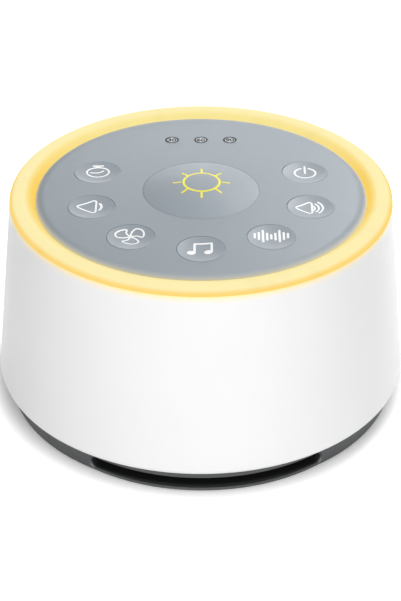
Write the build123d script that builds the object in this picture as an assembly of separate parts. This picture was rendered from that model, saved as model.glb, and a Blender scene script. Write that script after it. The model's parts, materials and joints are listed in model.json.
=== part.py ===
"""White noise sound machine: a flared round body with a lit ring and a keypad on top, and a speaker that
fires down and out through slots in the base.

Units are millimetres. +Z is up, -Y is the front, and the origin is on the table under the body's centre.
Each function makes one piece, or one group of like pieces, in its own place.
"""

import math
import os

from build123d import *

# ------------------------------------------------------------------ outline of the body
foot_radius = 56.3  # widest radius of the shell
foot_edge_z = 7.5  # lower edge of the shell above the table
foot_edge_round = 1.0  # height of the rounding at that edge
foot_edge_tuck = 0.35  # how far that rounding pulls the edge in
top_radius = 51.0  # radius at which the shell meets the light ring
top_z = 58.0  # height of that joint
shell_wall = 2.4
slip_gap = 0.2  # radial gap between shells that slide together by hand
seat_gap = 0.3  # gap between faces that are near but carry nothing
port_cut = 20.0  # length of the cutters through the back wall

# ------------------------------------------------------------------ light ring
light_ring_width = 6.6
light_ring_rise = 1.8  # crown above the shell's upper edge
light_ring_inner_drop = 0.6  # inner edge below the shell's upper edge
light_ring_wall = 1.2
light_ring_skirt = 4.0  # depth of the outer skirt inside the shell
light_ring_lip = 3.4  # depth of the inner lip beside the panel

# ------------------------------------------------------------------ keypad panel
panel_crown = 0.5  # rise of the middle above the shoulder
panel_shoulder = 1.4  # height of the rolled edge
panel_roll_width = 2.6  # width of the rolled edge
panel_thickness = 2.1  # at the shoulder
panel_rim_width = 2.2  # rim that seats on the chassis
panel_rim_depth = 1.3
key_circle_radius = 30.0
key_pitch_angle = 36.7  # degrees between neighbouring keys
key_diameter = 12.4
key_gap = 0.06  # radial running gap of a key in its hole
key_travel = 0.6
key_wall = 1.2
key_flange_width = 0.9
key_flange_height = 1.0
key_stop_gap = 0.05  # play between a flange and the panel
key_stem_radius = 1.7
dish_diameter = 12.0
dish_depth = 0.7
light_key_diameter = 31.0
light_key_rise = 2.2
light_key_flange_width = 1.1
light_key_stem_radius = 2.4
indicator_pitch = 8.1
indicator_y = 29.0
indicator_diameter = 3.9
pipe_diameter = 2.4  # shank of a light pipe below its head
pipe_head_height = 1.2

# ------------------------------------------------------------------ control board and switches
board_thickness = 1.6
control_board_drop = 10.0  # top of the control board below the shell's upper edge
control_board_radius = 36.5
switch_width = 6.0
switch_height = 3.4
plunger_radius = 1.7
plunger_height = 1.4  # how far a plunger stands out of its switch at rest
plunger_inside = 0.8  # length of a plunger inside its switch
plunger_gap = 0.12
led_height = 0.9
led_side = 2.0
board_boss_angle = 55.0  # degrees from the X axis to the two outer bosses of the control board
board_edge = 1.0  # board left outside those bosses
chip_height = 1.4
processor_side = 9.0
driver_chip = (5.0, 6.2)
control_chip_x = 13.0
driver_chip_y = (5.0, -6.0)

# ------------------------------------------------------------------ chassis for the lamp and the panel
shelf_drop = 9.4  # shelf in the shell below its upper edge
shelf_thickness = 2.0
chassis_floor = 2.0
chassis_wall = 1.0
lug_thickness = 1.6
lug_angle = 35.0  # degrees from the X axis to each of the four lugs
lamp_board_thickness = 0.8
lamp_count = 18

# ------------------------------------------------------------------ base
plinth_inset = 2.9  # plinth inside the widest radius of the shell
plinth_wall = 2.2
plinth_edge = 0.4  # rounding of the plinth's lower edge
base_floor = 1.6
base_floor_rim = 0.9  # floor thickness where it meets the slots
floor_slope_width = 2.4  # width over which the floor thins to its rim
base_joint_z = 12.6  # top of the spigot and posts, where the shell's bosses stand
slot_count = 3
slot_turn = 1.8  # degrees by which the slots stand round from the front
slot_angle = 76.0  # degrees spanned by one sound slot, about the axis of its swell
slot_height = 3.2
slot_bevel = 0.4  # bevel round the mouth of a slot
swell_proud = 0.9  # how far the plinth swells out at the middle of a slot
swell_offset = 5.0  # axis of a swell in front of the middle
baffle_drop = 5.0  # top face of the speaker baffle below the top of the posts
baffle_thickness = 2.0
ledge_width = 1.6
ledge_height = 0.7
diverter_radius = 18.0
diverter_height = 4.6
diverter_bend = (0.45, 0.6)  # where its slope changes, over its radius and its height
foot_height = 0.4  # how far the rubber feet stand out
foot_pad_radius = 4.5
foot_pocket = 0.8
foot_bevel = 0.25
foot_circle_inset = 9.6  # circle of the feet inside the plinth
label_recess = (46.0, 26.0, 0.3)
label_corner = 3.0

# ------------------------------------------------------------------ screws
base_screw_radius = 1.5
base_screw_head_radius = 2.8
base_screw_head_height = 2.0
base_screw_inset = 7.6  # circle of the base screws inside the plinth
base_screw_angle = 22.0  # degrees from the X axis to each of the four screws
base_screw_grip = 3.6  # post material between the head and the boss
base_screw_bite = 8.0
base_boss_wall = 2.0
base_boss_height = 14.0
post_wall = 1.5
small_screw_radius = 1.1
small_screw_head_radius = 2.1
small_screw_head_height = 1.4
chassis_screw_bite = 3.4  # length of a chassis screw below the shelf
pilot_gap = 0.05  # radial gap between a screw's core and its pilot hole
boss_wall = 1.6
pilot_floor = 0.5  # material left under a blind pilot hole
pilot_spare = 1.0  # distance from a screw's tip to the end of its pilot hole
screw_cross = (1.1, 0.3, 0.4)  # drive slot: length over head radius, width and depth over head height
screw_head_round = 0.35  # rounding of a head's rim over its height
countersunk_head_radius = 1.9
countersunk_cross = (2.2, 0.5, 0.6)  # length, width and depth of its drive slot
countersunk_gap = 0.15
flush_gap = 0.05  # depth of a countersunk head below its face
baffle_screw_bite = 2.6

# ------------------------------------------------------------------ speaker
speaker_flange_radius = 29.0
speaker_opening_inset = 5.8  # opening in the baffle inside the flange
speaker_flange = 1.0
gasket_thickness = 0.8
gasket_inset = 0.4
basket_lip_inset = 7.6  # width of the flange, whose inner edge holds the surround
basket_sheet = 0.9
basket_depth = 10.6  # flange to the back ring
basket_back_radius = 14.0
basket_back_hole = 11.2
basket_window_count = 6
basket_window_width = 8.4
basket_window_margin = (2.2, 2.0)  # metal left below and above a window
surround_roll = 1.5  # radius of the rolled part
surround_glue = 1.2  # width of the flat lip each side of it
surround_sheet = 0.4
cone_sheet = 0.5
cone_depth = 5.4
dust_cap_radius = 7.9
dust_cap_bulge = 1.8
dust_cap_sheet = 0.4
spider_sheet = 0.3
spider_waves = 4
spider_wave_height = 0.7
coil_radius = 6.5
coil_wall = 0.25
coil_neck = 1.0  # length of the coil's former inside the cone's neck
coil_length = 7.6
pole_gap = 0.25  # air gap each side of the coil
magnet_radius = 16.0
magnet_hole = 8.6
magnet_height = 6.0
magnet_bevel = 0.5
pole_plate_radius = 14.5
pole_plate_thickness = 2.0
speaker_screw_inset = 2.2  # circle of the speaker's screws inside the flange
tag_angle = -120.0  # degrees from the front to the terminal strip
tag_size = (7.0, 2.8, 1.0)
glue_line = 0.03

# ------------------------------------------------------------------ battery, main board and sockets
battery_radius = 9.2
battery_wall_gap = 1.4  # between the cell's ends and the shell
battery_magnet_gap = 2.3  # between the strap and the speaker's magnet
cradle_flange_gap = 1.8  # between the cradle and the speaker's flange under it
battery_edge_round = 0.8
cradle_length = 44.0
cradle_wall = 1.3
cradle_lip_drop = 1.0  # upper edges of the cradle below the cell's axis
cradle_leg = (2.4, 9.0)
cradle_tenon = (1.6, 5.0)
strap_width = 9.0
strap_thickness = 0.9
main_board_half_width = 18.0
main_board_depth = 23.0
main_board_set_back = 2.75  # back edge of the board behind the headphone jack's face
main_board_post_radius = 2.2
main_board_stand = 5.0  # height of the posts under the main board
main_board_post_inset = (3.5, 8.0)  # posts from the front and back edges of the board
main_board_corner = 1.5
main_chip_height = 1.3
main_chips = ((-5.5, 8.5, 7.0, 7.0), (2.5, 7.5, 4.0, 5.0), (-6.0, 18.5, 5.0, 4.0))  # x, inset, width, depth
capacitor_radius = 2.5
capacitor_height = 5.5
capacitor_places = ((7.5, 19.0), (2.0, 19.0))  # x and distance from the board's back edge
usb_x = -10.0
usb_width = 8.9
usb_height = 3.2
usb_wall = 0.35
usb_length = 8.4
usb_back_wall = 1.2
usb_tongue = (6.5, 0.7, 5.0)  # width, thickness and length in front of the back wall
jack_x = 10.0
jack_bore_radius = 1.8
jack_bore_length = 12.5
jack_body_width = 6.4
jack_body_height = 5.2
jack_back_wall = 1.8
port_gap = 0.35
jack_hole_radius = 3.2
connector_size = (6.0, 5.0, 4.6)
connector_x = 14.0
connector_inset = 14.5  # lead connectors from the main board's back edge
ribbon_width = 9.0
ribbon_sheet = 0.6
ribbon_socket = (12.0, 4.0, 3.0)
ribbon_top_y = 27.0
ribbon_inset = 14.0  # lower ribbon socket from the main board's back edge
ribbon_straight = 0.22  # straight run at each end over the whole fall
ribbon_bend = 0.2  # bend radius over the whole fall
wire_radius = 0.65
wire_pitch = 2.0  # spacing of two leads that run together
wire_bend = 0.45  # part of the shorter run that a bend may use
lamp_wire_radius = 0.45
lamp_wire_pitch = 1.5
lamp_lead_angle = 47.0
lamp_lead_rise = 2.6  # height of the leads above the channel's floor
lamp_lead_inset = 3.0  # start of the leads inside the control board's edge
lamp_lead_reach = 1.4  # end of the leads past the channel's inner wall
lamp_gate_radius = 2.0  # hole in the chassis for the lamp's leads

# ------------------------------------------------------------------ sizes that follow from the ones above
shell_slope = (foot_radius - top_radius) / (top_z - foot_edge_z - foot_edge_round)
ring_inner_radius = top_radius - light_ring_width
panel_radius = ring_inner_radius - slip_gap
panel_edge_z = top_z - light_ring_inner_drop
panel_shoulder_z = panel_edge_z + panel_shoulder
panel_shoulder_radius = panel_radius - panel_roll_width
panel_under_z = panel_shoulder_z - panel_thickness
panel_seat_z = panel_under_z - panel_rim_depth
board_top_z = top_z - control_board_drop
board_under_z = board_top_z - board_thickness
switch_top_z = board_top_z + switch_height
plunger_top_z = switch_top_z + plunger_height
shelf_top_z = top_z - shelf_drop
chassis_floor_z = shelf_top_z + chassis_floor
floor_top_z = foot_height + base_floor
slot_low_z = foot_height + base_floor_rim
plinth_radius = foot_radius - plinth_inset
plinth_inner_radius = plinth_radius - plinth_wall
swell_radius = plinth_radius + swell_proud - swell_offset
foot_circle_radius = plinth_radius - foot_circle_inset
base_screw_circle = plinth_radius - base_screw_inset
plinth_top_z = foot_edge_z - seat_gap
baffle_top_z = base_joint_z - baffle_drop
baffle_z = baffle_top_z - baffle_thickness
post_bore_radius = base_screw_head_radius + seat_gap
post_radius = post_bore_radius + post_wall
post_seat_z = base_joint_z - base_screw_grip
small_boss_radius = small_screw_radius + pilot_gap + boss_wall
gasket_top_z = baffle_top_z + gasket_thickness
flange_top_z = gasket_top_z + speaker_flange
basket_top_z = gasket_top_z + basket_depth
speaker_opening = speaker_flange_radius - speaker_opening_inset
speaker_screw_circle = speaker_flange_radius - speaker_screw_inset
basket_lip_radius = speaker_flange_radius - basket_lip_inset
surround_radius = basket_lip_radius - 2 * surround_roll  # inner edge of the rolled part
coil_outer = coil_radius + coil_wall
cone_neck_z = gasket_top_z + cone_depth
magnet_z = basket_top_z + pole_plate_thickness
cradle_inner_radius = battery_radius + seat_gap
cradle_outer_radius = cradle_inner_radius + cradle_wall
battery_y = -(magnet_radius + battery_magnet_gap + strap_thickness + cradle_outer_radius)
battery_z = flange_top_z + cradle_flange_gap + cradle_outer_radius
main_board_z = baffle_top_z + main_board_stand
main_board_top_z = main_board_z + board_thickness
jack_z = main_board_top_z + jack_body_height / 2
usb_z = main_board_top_z + usb_height / 2
key_radius = key_diameter / 2
light_key_radius = light_key_diameter / 2
key_names = ("lullaby", "noise", "volume_up", "power", "timer", "volume_down", "fan")
key_steps = (0, 1, 2, 3, -3, -2, -1)  # places round the key circle, counted from the front

BOTTOM = (Align.CENTER, Align.CENTER, Align.MIN)


# ------------------------------------------------------------------ shared helpers
def shell_outer(z):
    """Outer radius of the shell's straight flank at height z."""
    return top_radius + shell_slope * (top_z - z)


def shell_inner(z):
    """Inner radius of the shell at height z."""
    return shell_outer(z) - shell_wall


def wall_reach(offset, z, gap):
    """Half length of a chord at this offset from the middle and this height, a gap inside the shell's wall."""
    return math.sqrt((shell_inner(z) - gap) ** 2 - offset**2)


def panel_z(radius):
    """Height of the panel's crowned face at a radius inside its rolled edge."""
    return panel_shoulder_z + panel_crown * (1 - (radius / panel_shoulder_radius) ** 2)


def polar(radius, degrees):
    """Point (x, y) at a radius and an angle from +X."""
    return radius * math.cos(math.radians(degrees)), radius * math.sin(math.radians(degrees))


def key_place(step):
    """Centre (x, y) of the key that is this many steps round from the front."""
    return polar(key_circle_radius, -90 + step * key_pitch_angle)


def heading(place):
    """Angle from +X, in degrees, of a point (x, y) seen from the middle."""
    return math.degrees(math.atan2(place[1], place[0]))


def quadrants(radius, degrees):
    """Four points, one in each quadrant, at this angle from the X axis."""
    return [polar(radius, a) for a in (degrees, 180 - degrees, 180 + degrees, -degrees)]


def lathe(outline, arc=360.0):
    """Solid turned about Z from a closed outline of (radius, height) points."""
    edges = Polyline(*[(r, 0, z) for r, z in outline], close=True)
    return revolve(make_face(edges), Axis.Z, arc)


def lathe_edges(*edges):
    """Solid turned about Z from the edges of a closed outline in the XZ plane."""
    return revolve(make_face(Wire(list(edges))), Axis.Z)


def rod(radius, low, high, place=(0, 0)):
    """Upright cylinder between two heights."""
    return Pos(*place, low) * Cylinder(radius, high - low, align=BOTTOM)


def tube(outer, inner, low, high, place=(0, 0)):
    """Upright tube between two heights."""
    return rod(outer, low, high, place) - rod(inner, low, high, place)


def block(x, y, z):
    """Box from three (low, high) pairs."""
    size = [b - a for a, b in (x, y, z)]
    middle = [(a + b) / 2 for a, b in (x, y, z)]
    return Pos(*middle) * Box(*size)


def quarter(centre, across, up, start):
    """Quarter of an ellipse in the XZ plane, from start to start + 90 degrees."""
    arc = EllipticalCenterArc((0, 0), across, up, start, arc_size=90)
    return Plane((centre[0], 0, centre[1]), x_dir=(1, 0, 0), z_dir=(0, -1, 0)) * arc


def line(a, b):
    """Straight edge between two (radius, height) points."""
    return Line((a[0], 0, a[1]), (b[0], 0, b[1]))


def pan_screw(place, seat, tip, radius, head_radius, head_height, up=True):
    """Pan-head screw from its seat to its tip. The head is below the seat if up, or else above it."""
    far = seat - head_height if up else seat + head_height
    head = rod(head_radius, min(seat, far), max(seat, far), place)
    rim = head.edges().filter_by(GeomType.CIRCLE).sort_by(Axis.Z)[0 if up else -1]
    head = fillet(rim, head_height * screw_head_round)
    depth = head_height * screw_cross[2]
    cross = Box(head_radius * screw_cross[0], head_height * screw_cross[1], depth, align=BOTTOM)
    for turn in (0, 90):
        head -= Pos(*place, far if up else far - depth) * Rot(0, 0, turn) * cross
    return head + rod(radius, min(seat, tip), max(seat, tip), place)


def small_screws(places, seat, tip, up=True):
    """Group of small pan-head screws."""
    return [
        pan_screw(p, seat, tip, small_screw_radius, small_screw_head_radius, small_screw_head_height, up)
        for p in places
    ]


def wire(points, radius):
    """Round wire along straight runs joined by tangent arcs, each as large as its two runs allow."""
    vectors = [Vector(*p) for p in points]
    radii = []
    for a, b, c in zip(vectors, vectors[1:], vectors[2:]):
        turn = math.radians((b - a).get_angle(c - b))
        radii.append(wire_bend * min((b - a).length, (c - b).length) / math.tan(turn / 2))
    path = FilletPolyline(*points, radius=radii)
    return sweep(Plane(path @ 0, z_dir=path % 0) * Circle(radius), path)


def save(name, *shapes):
    """Writes one sub-part of one or more separate solids."""
    solids = [s for shape in shapes for s in shape.solids()]
    export_step(solids[0] if len(solids) == 1 else Compound(children=solids), f"parts/{name}.step")


# ------------------------------------------------------------------ sizes and places set by the shell's wall
battery_length = 2 * wall_reach(battery_radius - battery_y, battery_z, battery_wall_gap)
jack_front_y = wall_reach(jack_x + jack_body_width / 2, jack_z + jack_body_height / 2, seat_gap)
main_board_back_y = jack_front_y - main_board_set_back
main_board_front_y = main_board_back_y - main_board_depth
connector_y = main_board_back_y - connector_inset
ribbon_low_y = main_board_back_y - ribbon_inset


# ------------------------------------------------------------------ body shell
def body_shell():
    """White flared shell, open at both ends, with a shelf for the chassis and four bosses for the base."""
    round_z = foot_edge_z + foot_edge_round
    edge = quarter((foot_radius - foot_edge_tuck, round_z), foot_edge_tuck, foot_edge_round, -90)
    corners = [
        (foot_radius, round_z),
        (top_radius, top_z),
        (shell_inner(top_z), top_z),
        (shell_inner(shelf_top_z), shelf_top_z),
        (ring_inner_radius - light_ring_wall, shelf_top_z),
        (ring_inner_radius - light_ring_wall, shelf_top_z - shelf_thickness),
        (shell_inner(shelf_top_z - shelf_thickness), shelf_top_z - shelf_thickness),
        (shell_inner(round_z), round_z),
        (shell_inner(round_z), foot_edge_z),
        (foot_radius - foot_edge_tuck, foot_edge_z),
    ]
    shell = lathe_edges(edge, *[line(a, b) for a, b in zip(corners, corners[1:])])
    boss_top = base_joint_z + base_boss_height
    boss_bore = base_screw_radius + pilot_gap
    bury = shell_wall / 3
    rib_low = base_joint_z + seat_gap
    rib = [
        (base_screw_circle, rib_low),
        (shell_inner(rib_low) + bury, rib_low),
        (shell_inner(boss_top) + bury, boss_top),
        (base_screw_circle, boss_top),
    ]
    rib_face = make_face(Polyline(*[(r, 0, z) for r, z in rib], close=True))
    fin = extrude(rib_face, amount=boss_wall / 2, both=True)
    for place in quadrants(base_screw_circle, base_screw_angle):
        shell += Rot(0, 0, heading(place)) * fin
        shell += rod(boss_bore + base_boss_wall, base_joint_z, boss_top, place)
        shell -= rod(boss_bore, base_joint_z, base_joint_z + base_screw_bite + pilot_spare, place)
    pilot_low = shelf_top_z - shelf_thickness - chassis_screw_bite - pilot_floor
    for place in quadrants(chassis_screw_circle(), 45):
        shell += rod(small_boss_radius, pilot_low - pilot_floor, shelf_top_z - shelf_thickness, place)
        shell -= rod(small_screw_radius + pilot_gap, pilot_low, shelf_top_z, place)
    return shell - port_windows()


def port_windows():
    """Cuts through the back wall for the charging socket and the headphone jack."""
    slot = extrude(SlotOverall(usb_width + 2 * port_gap, usb_height + 2 * port_gap), port_cut)
    usb = Pos(usb_x, main_board_back_y, usb_z) * Rot(-90, 0, 0) * slot
    jack = Pos(jack_x, main_board_back_y, jack_z) * Rot(-90, 0, 0)
    return usb + jack * Cylinder(jack_hole_radius, port_cut, align=BOTTOM)


# ------------------------------------------------------------------ top of the body
def light_ring():
    """Diffuser with a rounded crown, a skirt inside the shell and a lip beside the panel."""
    middle = top_radius - light_ring_width / 2
    crown = top_z + light_ring_rise
    skirt = shell_inner(top_z) - slip_gap
    inner_z = top_z - light_ring_inner_drop
    half = light_ring_width / 2
    hollow_z = inner_z - seat_gap
    corners = [
        (ring_inner_radius, inner_z),
        (ring_inner_radius, top_z - light_ring_lip),
        (ring_inner_radius + light_ring_wall, top_z - light_ring_lip),
        (ring_inner_radius + light_ring_wall, hollow_z),
        (skirt - light_ring_wall, hollow_z),
        (skirt - light_ring_wall, top_z - light_ring_skirt),
        (skirt, top_z - light_ring_skirt),
        (skirt, top_z),
        (top_radius, top_z),
    ]
    arcs = [
        quarter((middle, top_z), half, crown - top_z, 0),
        quarter((middle, inner_z), half, crown - inner_z, 90),
    ]
    return lathe_edges(*arcs, *[line(a, b) for a, b in zip(corners, corners[1:])])


def channel_radii():
    """(inner, outer) radius of the chassis channel that holds the lamp."""
    inner = panel_radius - panel_rim_width
    return inner, shell_inner(top_z) - slip_gap


def chassis_screw_circle():
    """Radius of the circle of screws in the middle of the chassis channel."""
    inner, outer = channel_radii()
    return (inner + chassis_wall + outer - chassis_wall) / 2


def chassis():
    """White channel that reflects the lamp upwards, carries the panel and stands on the shell's shelf."""
    inner, outer = channel_radii()
    wall_top = top_z - light_ring_skirt - seat_gap
    outline = [
        (inner, shelf_top_z),
        (outer, shelf_top_z),
        (outer, wall_top),
        (outer - chassis_wall, wall_top),
        (outer - chassis_wall, chassis_floor_z),
        (inner + chassis_wall, chassis_floor_z),
        (inner + chassis_wall, panel_seat_z),
        (inner, panel_seat_z),
    ]
    made = lathe(outline)
    low, high = lug_heights()
    half = small_boss_radius
    arm = block((lug_circle(), inner + chassis_wall / 2), (-half, half), (low, high))
    for place in quadrants(lug_circle(), lug_angle):
        made += Rot(0, 0, heading(place)) * arm
        made += rod(half, low, high, place)
        made -= rod(small_screw_radius + slip_gap, low, high, place)
    for place in quadrants(chassis_screw_circle(), 45):
        made -= countersunk(place, chassis_floor_z, shelf_top_z, countersunk_gap)
    gate = Rot(0, 0, lamp_lead_angle) * Pos(inner + chassis_wall / 2, 0, lamp_lead_z()) * Rot(0, 90, 0)
    return made - gate * Cylinder(lamp_gate_radius, chassis_wall * 4)


def countersunk(place, top, tip, grow=0.0):
    """Countersunk screw, or the hole that clears it where grow is above 0."""
    head = countersunk_head_radius + grow
    core = small_screw_radius + grow
    sink = head - core
    outline = [(0, top), (head, top), (core, top - sink), (core, tip), (0, tip)]
    return Pos(*place, 0) * lathe(outline)


def chassis_screws():
    """Four countersunk screws that hold the chassis on the shelf, under the lamp board."""
    screws = []
    tip = shelf_top_z - shelf_thickness - chassis_screw_bite
    cross = Box(*countersunk_cross, align=BOTTOM)
    for place in quadrants(chassis_screw_circle(), 45):
        screw = countersunk(place, chassis_floor_z - flush_gap, tip)
        for turn in (0, 90):
            screw -= Pos(*place, chassis_floor_z - countersunk_cross[2]) * Rot(0, 0, turn) * cross
        screws.append(screw)
    return screws


def lug_circle():
    """Radius of the circle of screws that hold the panel."""
    return channel_radii()[0] - small_boss_radius - seat_gap


def lug_heights():
    """(low, high) faces of the lugs that the panel's bosses stand on."""
    low = chassis_floor_z
    return low, low + lug_thickness


def panel_board_bosses():
    """Places of the bosses that carry the control board, clear of every key."""
    circle = light_key_radius + light_key_flange_width + seat_gap + small_boss_radius
    between = 1.5 * key_pitch_angle
    inner = [polar(circle, -90 + between), polar(circle, -90 - between)]
    edge = control_board_radius - small_boss_radius - board_edge
    return inner + [polar(edge, board_boss_angle), polar(edge, 180 - board_boss_angle)]


def top_panel():
    """Grey crowned panel with holes for the keys and light pipes, and bosses for its screws."""
    centre_z = panel_shoulder_z + panel_crown
    rim = panel_radius - panel_rim_width
    mid_r = panel_shoulder_radius / 2
    top = ThreePointArc(
        (0, 0, centre_z),
        (mid_r, 0, panel_z(mid_r)),
        (panel_shoulder_radius, 0, panel_shoulder_z),
    )
    roll = quarter((panel_shoulder_radius, panel_edge_z), panel_roll_width, panel_shoulder, 0)
    corners = [
        (panel_radius, panel_edge_z),
        (panel_radius, panel_seat_z),
        (rim, panel_seat_z),
        (rim, panel_under_z),
        (0, panel_under_z),
        (0, centre_z),
    ]
    panel = lathe_edges(top, roll, *[line(a, b) for a, b in zip(corners, corners[1:])])
    pilot = small_screw_radius + pilot_gap
    for place in quadrants(lug_circle(), lug_angle):
        panel += rod(small_boss_radius, lug_heights()[1], panel_under_z, place)
        panel -= rod(pilot, lug_heights()[1], panel_under_z, place)
    for place in panel_board_bosses():
        panel += rod(small_boss_radius, board_top_z, panel_under_z, place)
        panel -= rod(pilot, board_top_z, panel_under_z - pilot_floor, place)
    for step in key_steps:
        panel -= rod(key_radius + key_gap, panel_under_z, centre_z, key_place(step))
    panel -= rod(light_key_radius + key_gap, panel_under_z, centre_z)
    for place in indicator_places():
        panel -= rod(pipe_diameter / 2 + slip_gap, panel_under_z, centre_z, place)
        panel -= rod(indicator_diameter / 2 + pilot_gap, pipe_head_z(), centre_z, place)
    return panel


def indicator_places():
    """Centres of the three timer indicators."""
    return [(i * indicator_pitch, indicator_y) for i in (-1, 0, 1)]


def pipe_head_z():
    """Height of the shoulder under a light pipe's head."""
    return panel_z(indicator_y) - pipe_head_height


def indicator_pipes():
    """Light pipes that carry the timer lamps up to the panel's face."""
    low = board_top_z + led_height + seat_gap
    face = panel_z(math.hypot(indicator_pitch, indicator_y))
    return [
        rod(pipe_diameter / 2, low, face, place) + rod(indicator_diameter / 2, pipe_head_z(), face, place)
        for place in indicator_places()
    ]


def small_key(step):
    """Round key with a dished face, a flange under the panel and a stem on its switch."""
    place = key_place(step)
    top = panel_z(key_circle_radius)
    flange_top = panel_under_z - key_stop_gap
    flange_low = flange_top - key_flange_height
    roof = top - dish_depth - key_wall
    inner = key_radius - key_wall
    outline = [
        (0, top),
        (key_radius, top),
        (key_radius, flange_top),
        (key_radius + key_flange_width, flange_top),
        (key_radius + key_flange_width, flange_low),
        (inner, flange_low),
        (inner, roof),
        (key_stem_radius, roof),
        (key_stem_radius, plunger_top_z),
        (0, plunger_top_z),
    ]
    half = dish_diameter / 2
    ball = (half**2 + dish_depth**2) / (2 * dish_depth)
    key = lathe(outline) - Pos(0, 0, top - dish_depth + ball) * Sphere(ball)
    return Pos(*place, 0) * key


def light_key():
    """Large domed key in the middle of the panel, hollow over a stem on its switch."""
    base = panel_z(light_key_radius)
    peak = base + light_key_rise
    flange_top = panel_under_z - key_stop_gap
    flange_low = flange_top - key_flange_height
    inner = light_key_radius - key_wall
    ball = (light_key_radius**2 + light_key_rise**2) / (2 * light_key_rise)
    half_way = light_key_radius / 2
    dome_z = peak - ball + math.sqrt(ball**2 - half_way**2)
    corners = [
        (light_key_radius, base),
        (light_key_radius, flange_top),
        (light_key_radius + light_key_flange_width, flange_top),
        (light_key_radius + light_key_flange_width, flange_low),
        (inner, flange_low),
        (inner, base - key_wall),
        (light_key_stem_radius, peak - key_wall),
        (light_key_stem_radius, plunger_top_z),
        (0, plunger_top_z),
        (0, peak),
    ]
    dome = ThreePointArc((0, 0, peak), (half_way, 0, dome_z), (light_key_radius, 0, base))
    return lathe_edges(dome, *[line(a, b) for a, b in zip(corners, corners[1:])])


def plunger(place):
    """Plunger of one push switch."""
    return rod(plunger_radius, switch_top_z - plunger_inside, plunger_top_z, place)


def key_switches():
    """Eight push-switch bodies on the control board, one under each key."""
    half = switch_width / 2
    made = []
    for x, y in [key_place(step) for step in key_steps] + [(0, 0)]:
        body = block((x - half, x + half), (y - half, y + half), (board_top_z, switch_top_z))
        well = switch_top_z - plunger_inside - key_travel - seat_gap
        made.append(body - rod(plunger_radius + plunger_gap, well, switch_top_z, (x, y)))
    return made


def control_board():
    """Round circuit board under the keypad."""
    board = rod(control_board_radius, board_under_z, board_top_z)
    for place in panel_board_bosses():
        board -= rod(small_screw_radius + slip_gap, board_under_z, board_top_z, place)
    return board


def control_board_screws():
    """Four screws that hold the control board on the panel's bosses."""
    return small_screws(panel_board_bosses(), board_under_z, panel_under_z - pilot_floor - pilot_spare)


def panel_screws():
    """Four screws that hold the panel on the chassis."""
    return small_screws(quadrants(lug_circle(), lug_angle), lug_heights()[0], panel_under_z - pilot_spare)


def control_chips():
    """Processor and two driver chips under the control board."""
    low = board_under_z - chip_height
    processor = Box(processor_side, processor_side, chip_height, align=BOTTOM)
    driver = Box(*driver_chip, chip_height, align=BOTTOM)
    drivers = [Pos(control_chip_x, y, low) * driver for y in driver_chip_y]
    return [Pos(-control_chip_x, 0, low) * processor] + drivers


def indicator_leds():
    """Three small lamps under the light pipes."""
    half = led_side / 2
    return [
        block((x - half, x + half), (y - half, y + half), (board_top_z, board_top_z + led_height))
        for x, y in indicator_places()
    ]


def lamp_board():
    """Narrow ring board on the floor of the chassis channel."""
    inner, outer = channel_radii()
    side = chassis_wall + seat_gap
    return tube(outer - side, inner + side, chassis_floor_z, chassis_floor_z + lamp_board_thickness)


def lamp_leds():
    """White lamps spaced evenly round the ring board."""
    low = chassis_floor_z + lamp_board_thickness
    lamp = block((-led_side / 2, led_side / 2), (-led_side / 2, led_side / 2), (low, low + led_height))
    pitch = 360 / lamp_count
    return [Rot(0, 0, i * pitch) * Pos(chassis_screw_circle(), 0, 0) * lamp for i in range(lamp_count)]


# ------------------------------------------------------------------ base
def round_the_plinth(shape):
    """Copies of a shape at the front of the plinth, one for each slot."""
    front = Pos(0, -swell_offset, 0) * shape
    return [Rot(0, 0, slot_turn + i * 360 / slot_count) * front for i in range(slot_count)]


def plinth_swell():
    """Disc about the axis of a swell, whose outer edge stands proud of the plinth."""
    outline = [
        (0, foot_height),
        (swell_radius - plinth_edge, foot_height),
        (swell_radius, foot_height + plinth_edge),
        (swell_radius, plinth_top_z),
        (0, plinth_top_z),
    ]
    return lathe(outline)


def sound_slot():
    """Cutter for one slot about the axis of its swell, with round ends and a bevelled mouth."""
    half = slot_height / 2
    middle = slot_low_z + half
    deep_r = swell_radius - 3 * plinth_wall
    mouth_r = swell_radius - slot_bevel
    flare = 2 * slot_bevel
    outline = [
        (deep_r, middle - half),
        (mouth_r, middle - half),
        (mouth_r + flare, middle - half - flare),
        (mouth_r + flare, middle + half + flare),
        (mouth_r, middle + half),
        (deep_r, middle + half),
    ]
    tip = math.degrees(half / swell_radius)
    start = -90 - slot_angle / 2 + tip
    span = slot_angle - 2 * tip
    end = Pos(deep_r, 0, middle) * Rot(0, 90, 0) * Cylinder(half, mouth_r - deep_r, align=BOTTOM)
    end += Pos(mouth_r, 0, middle) * Rot(0, 90, 0) * Cone(half, half + flare, flare, align=BOTTOM)
    return Rot(0, 0, start) * (lathe(outline, span) + end + Rot(0, 0, span) * end)


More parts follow.
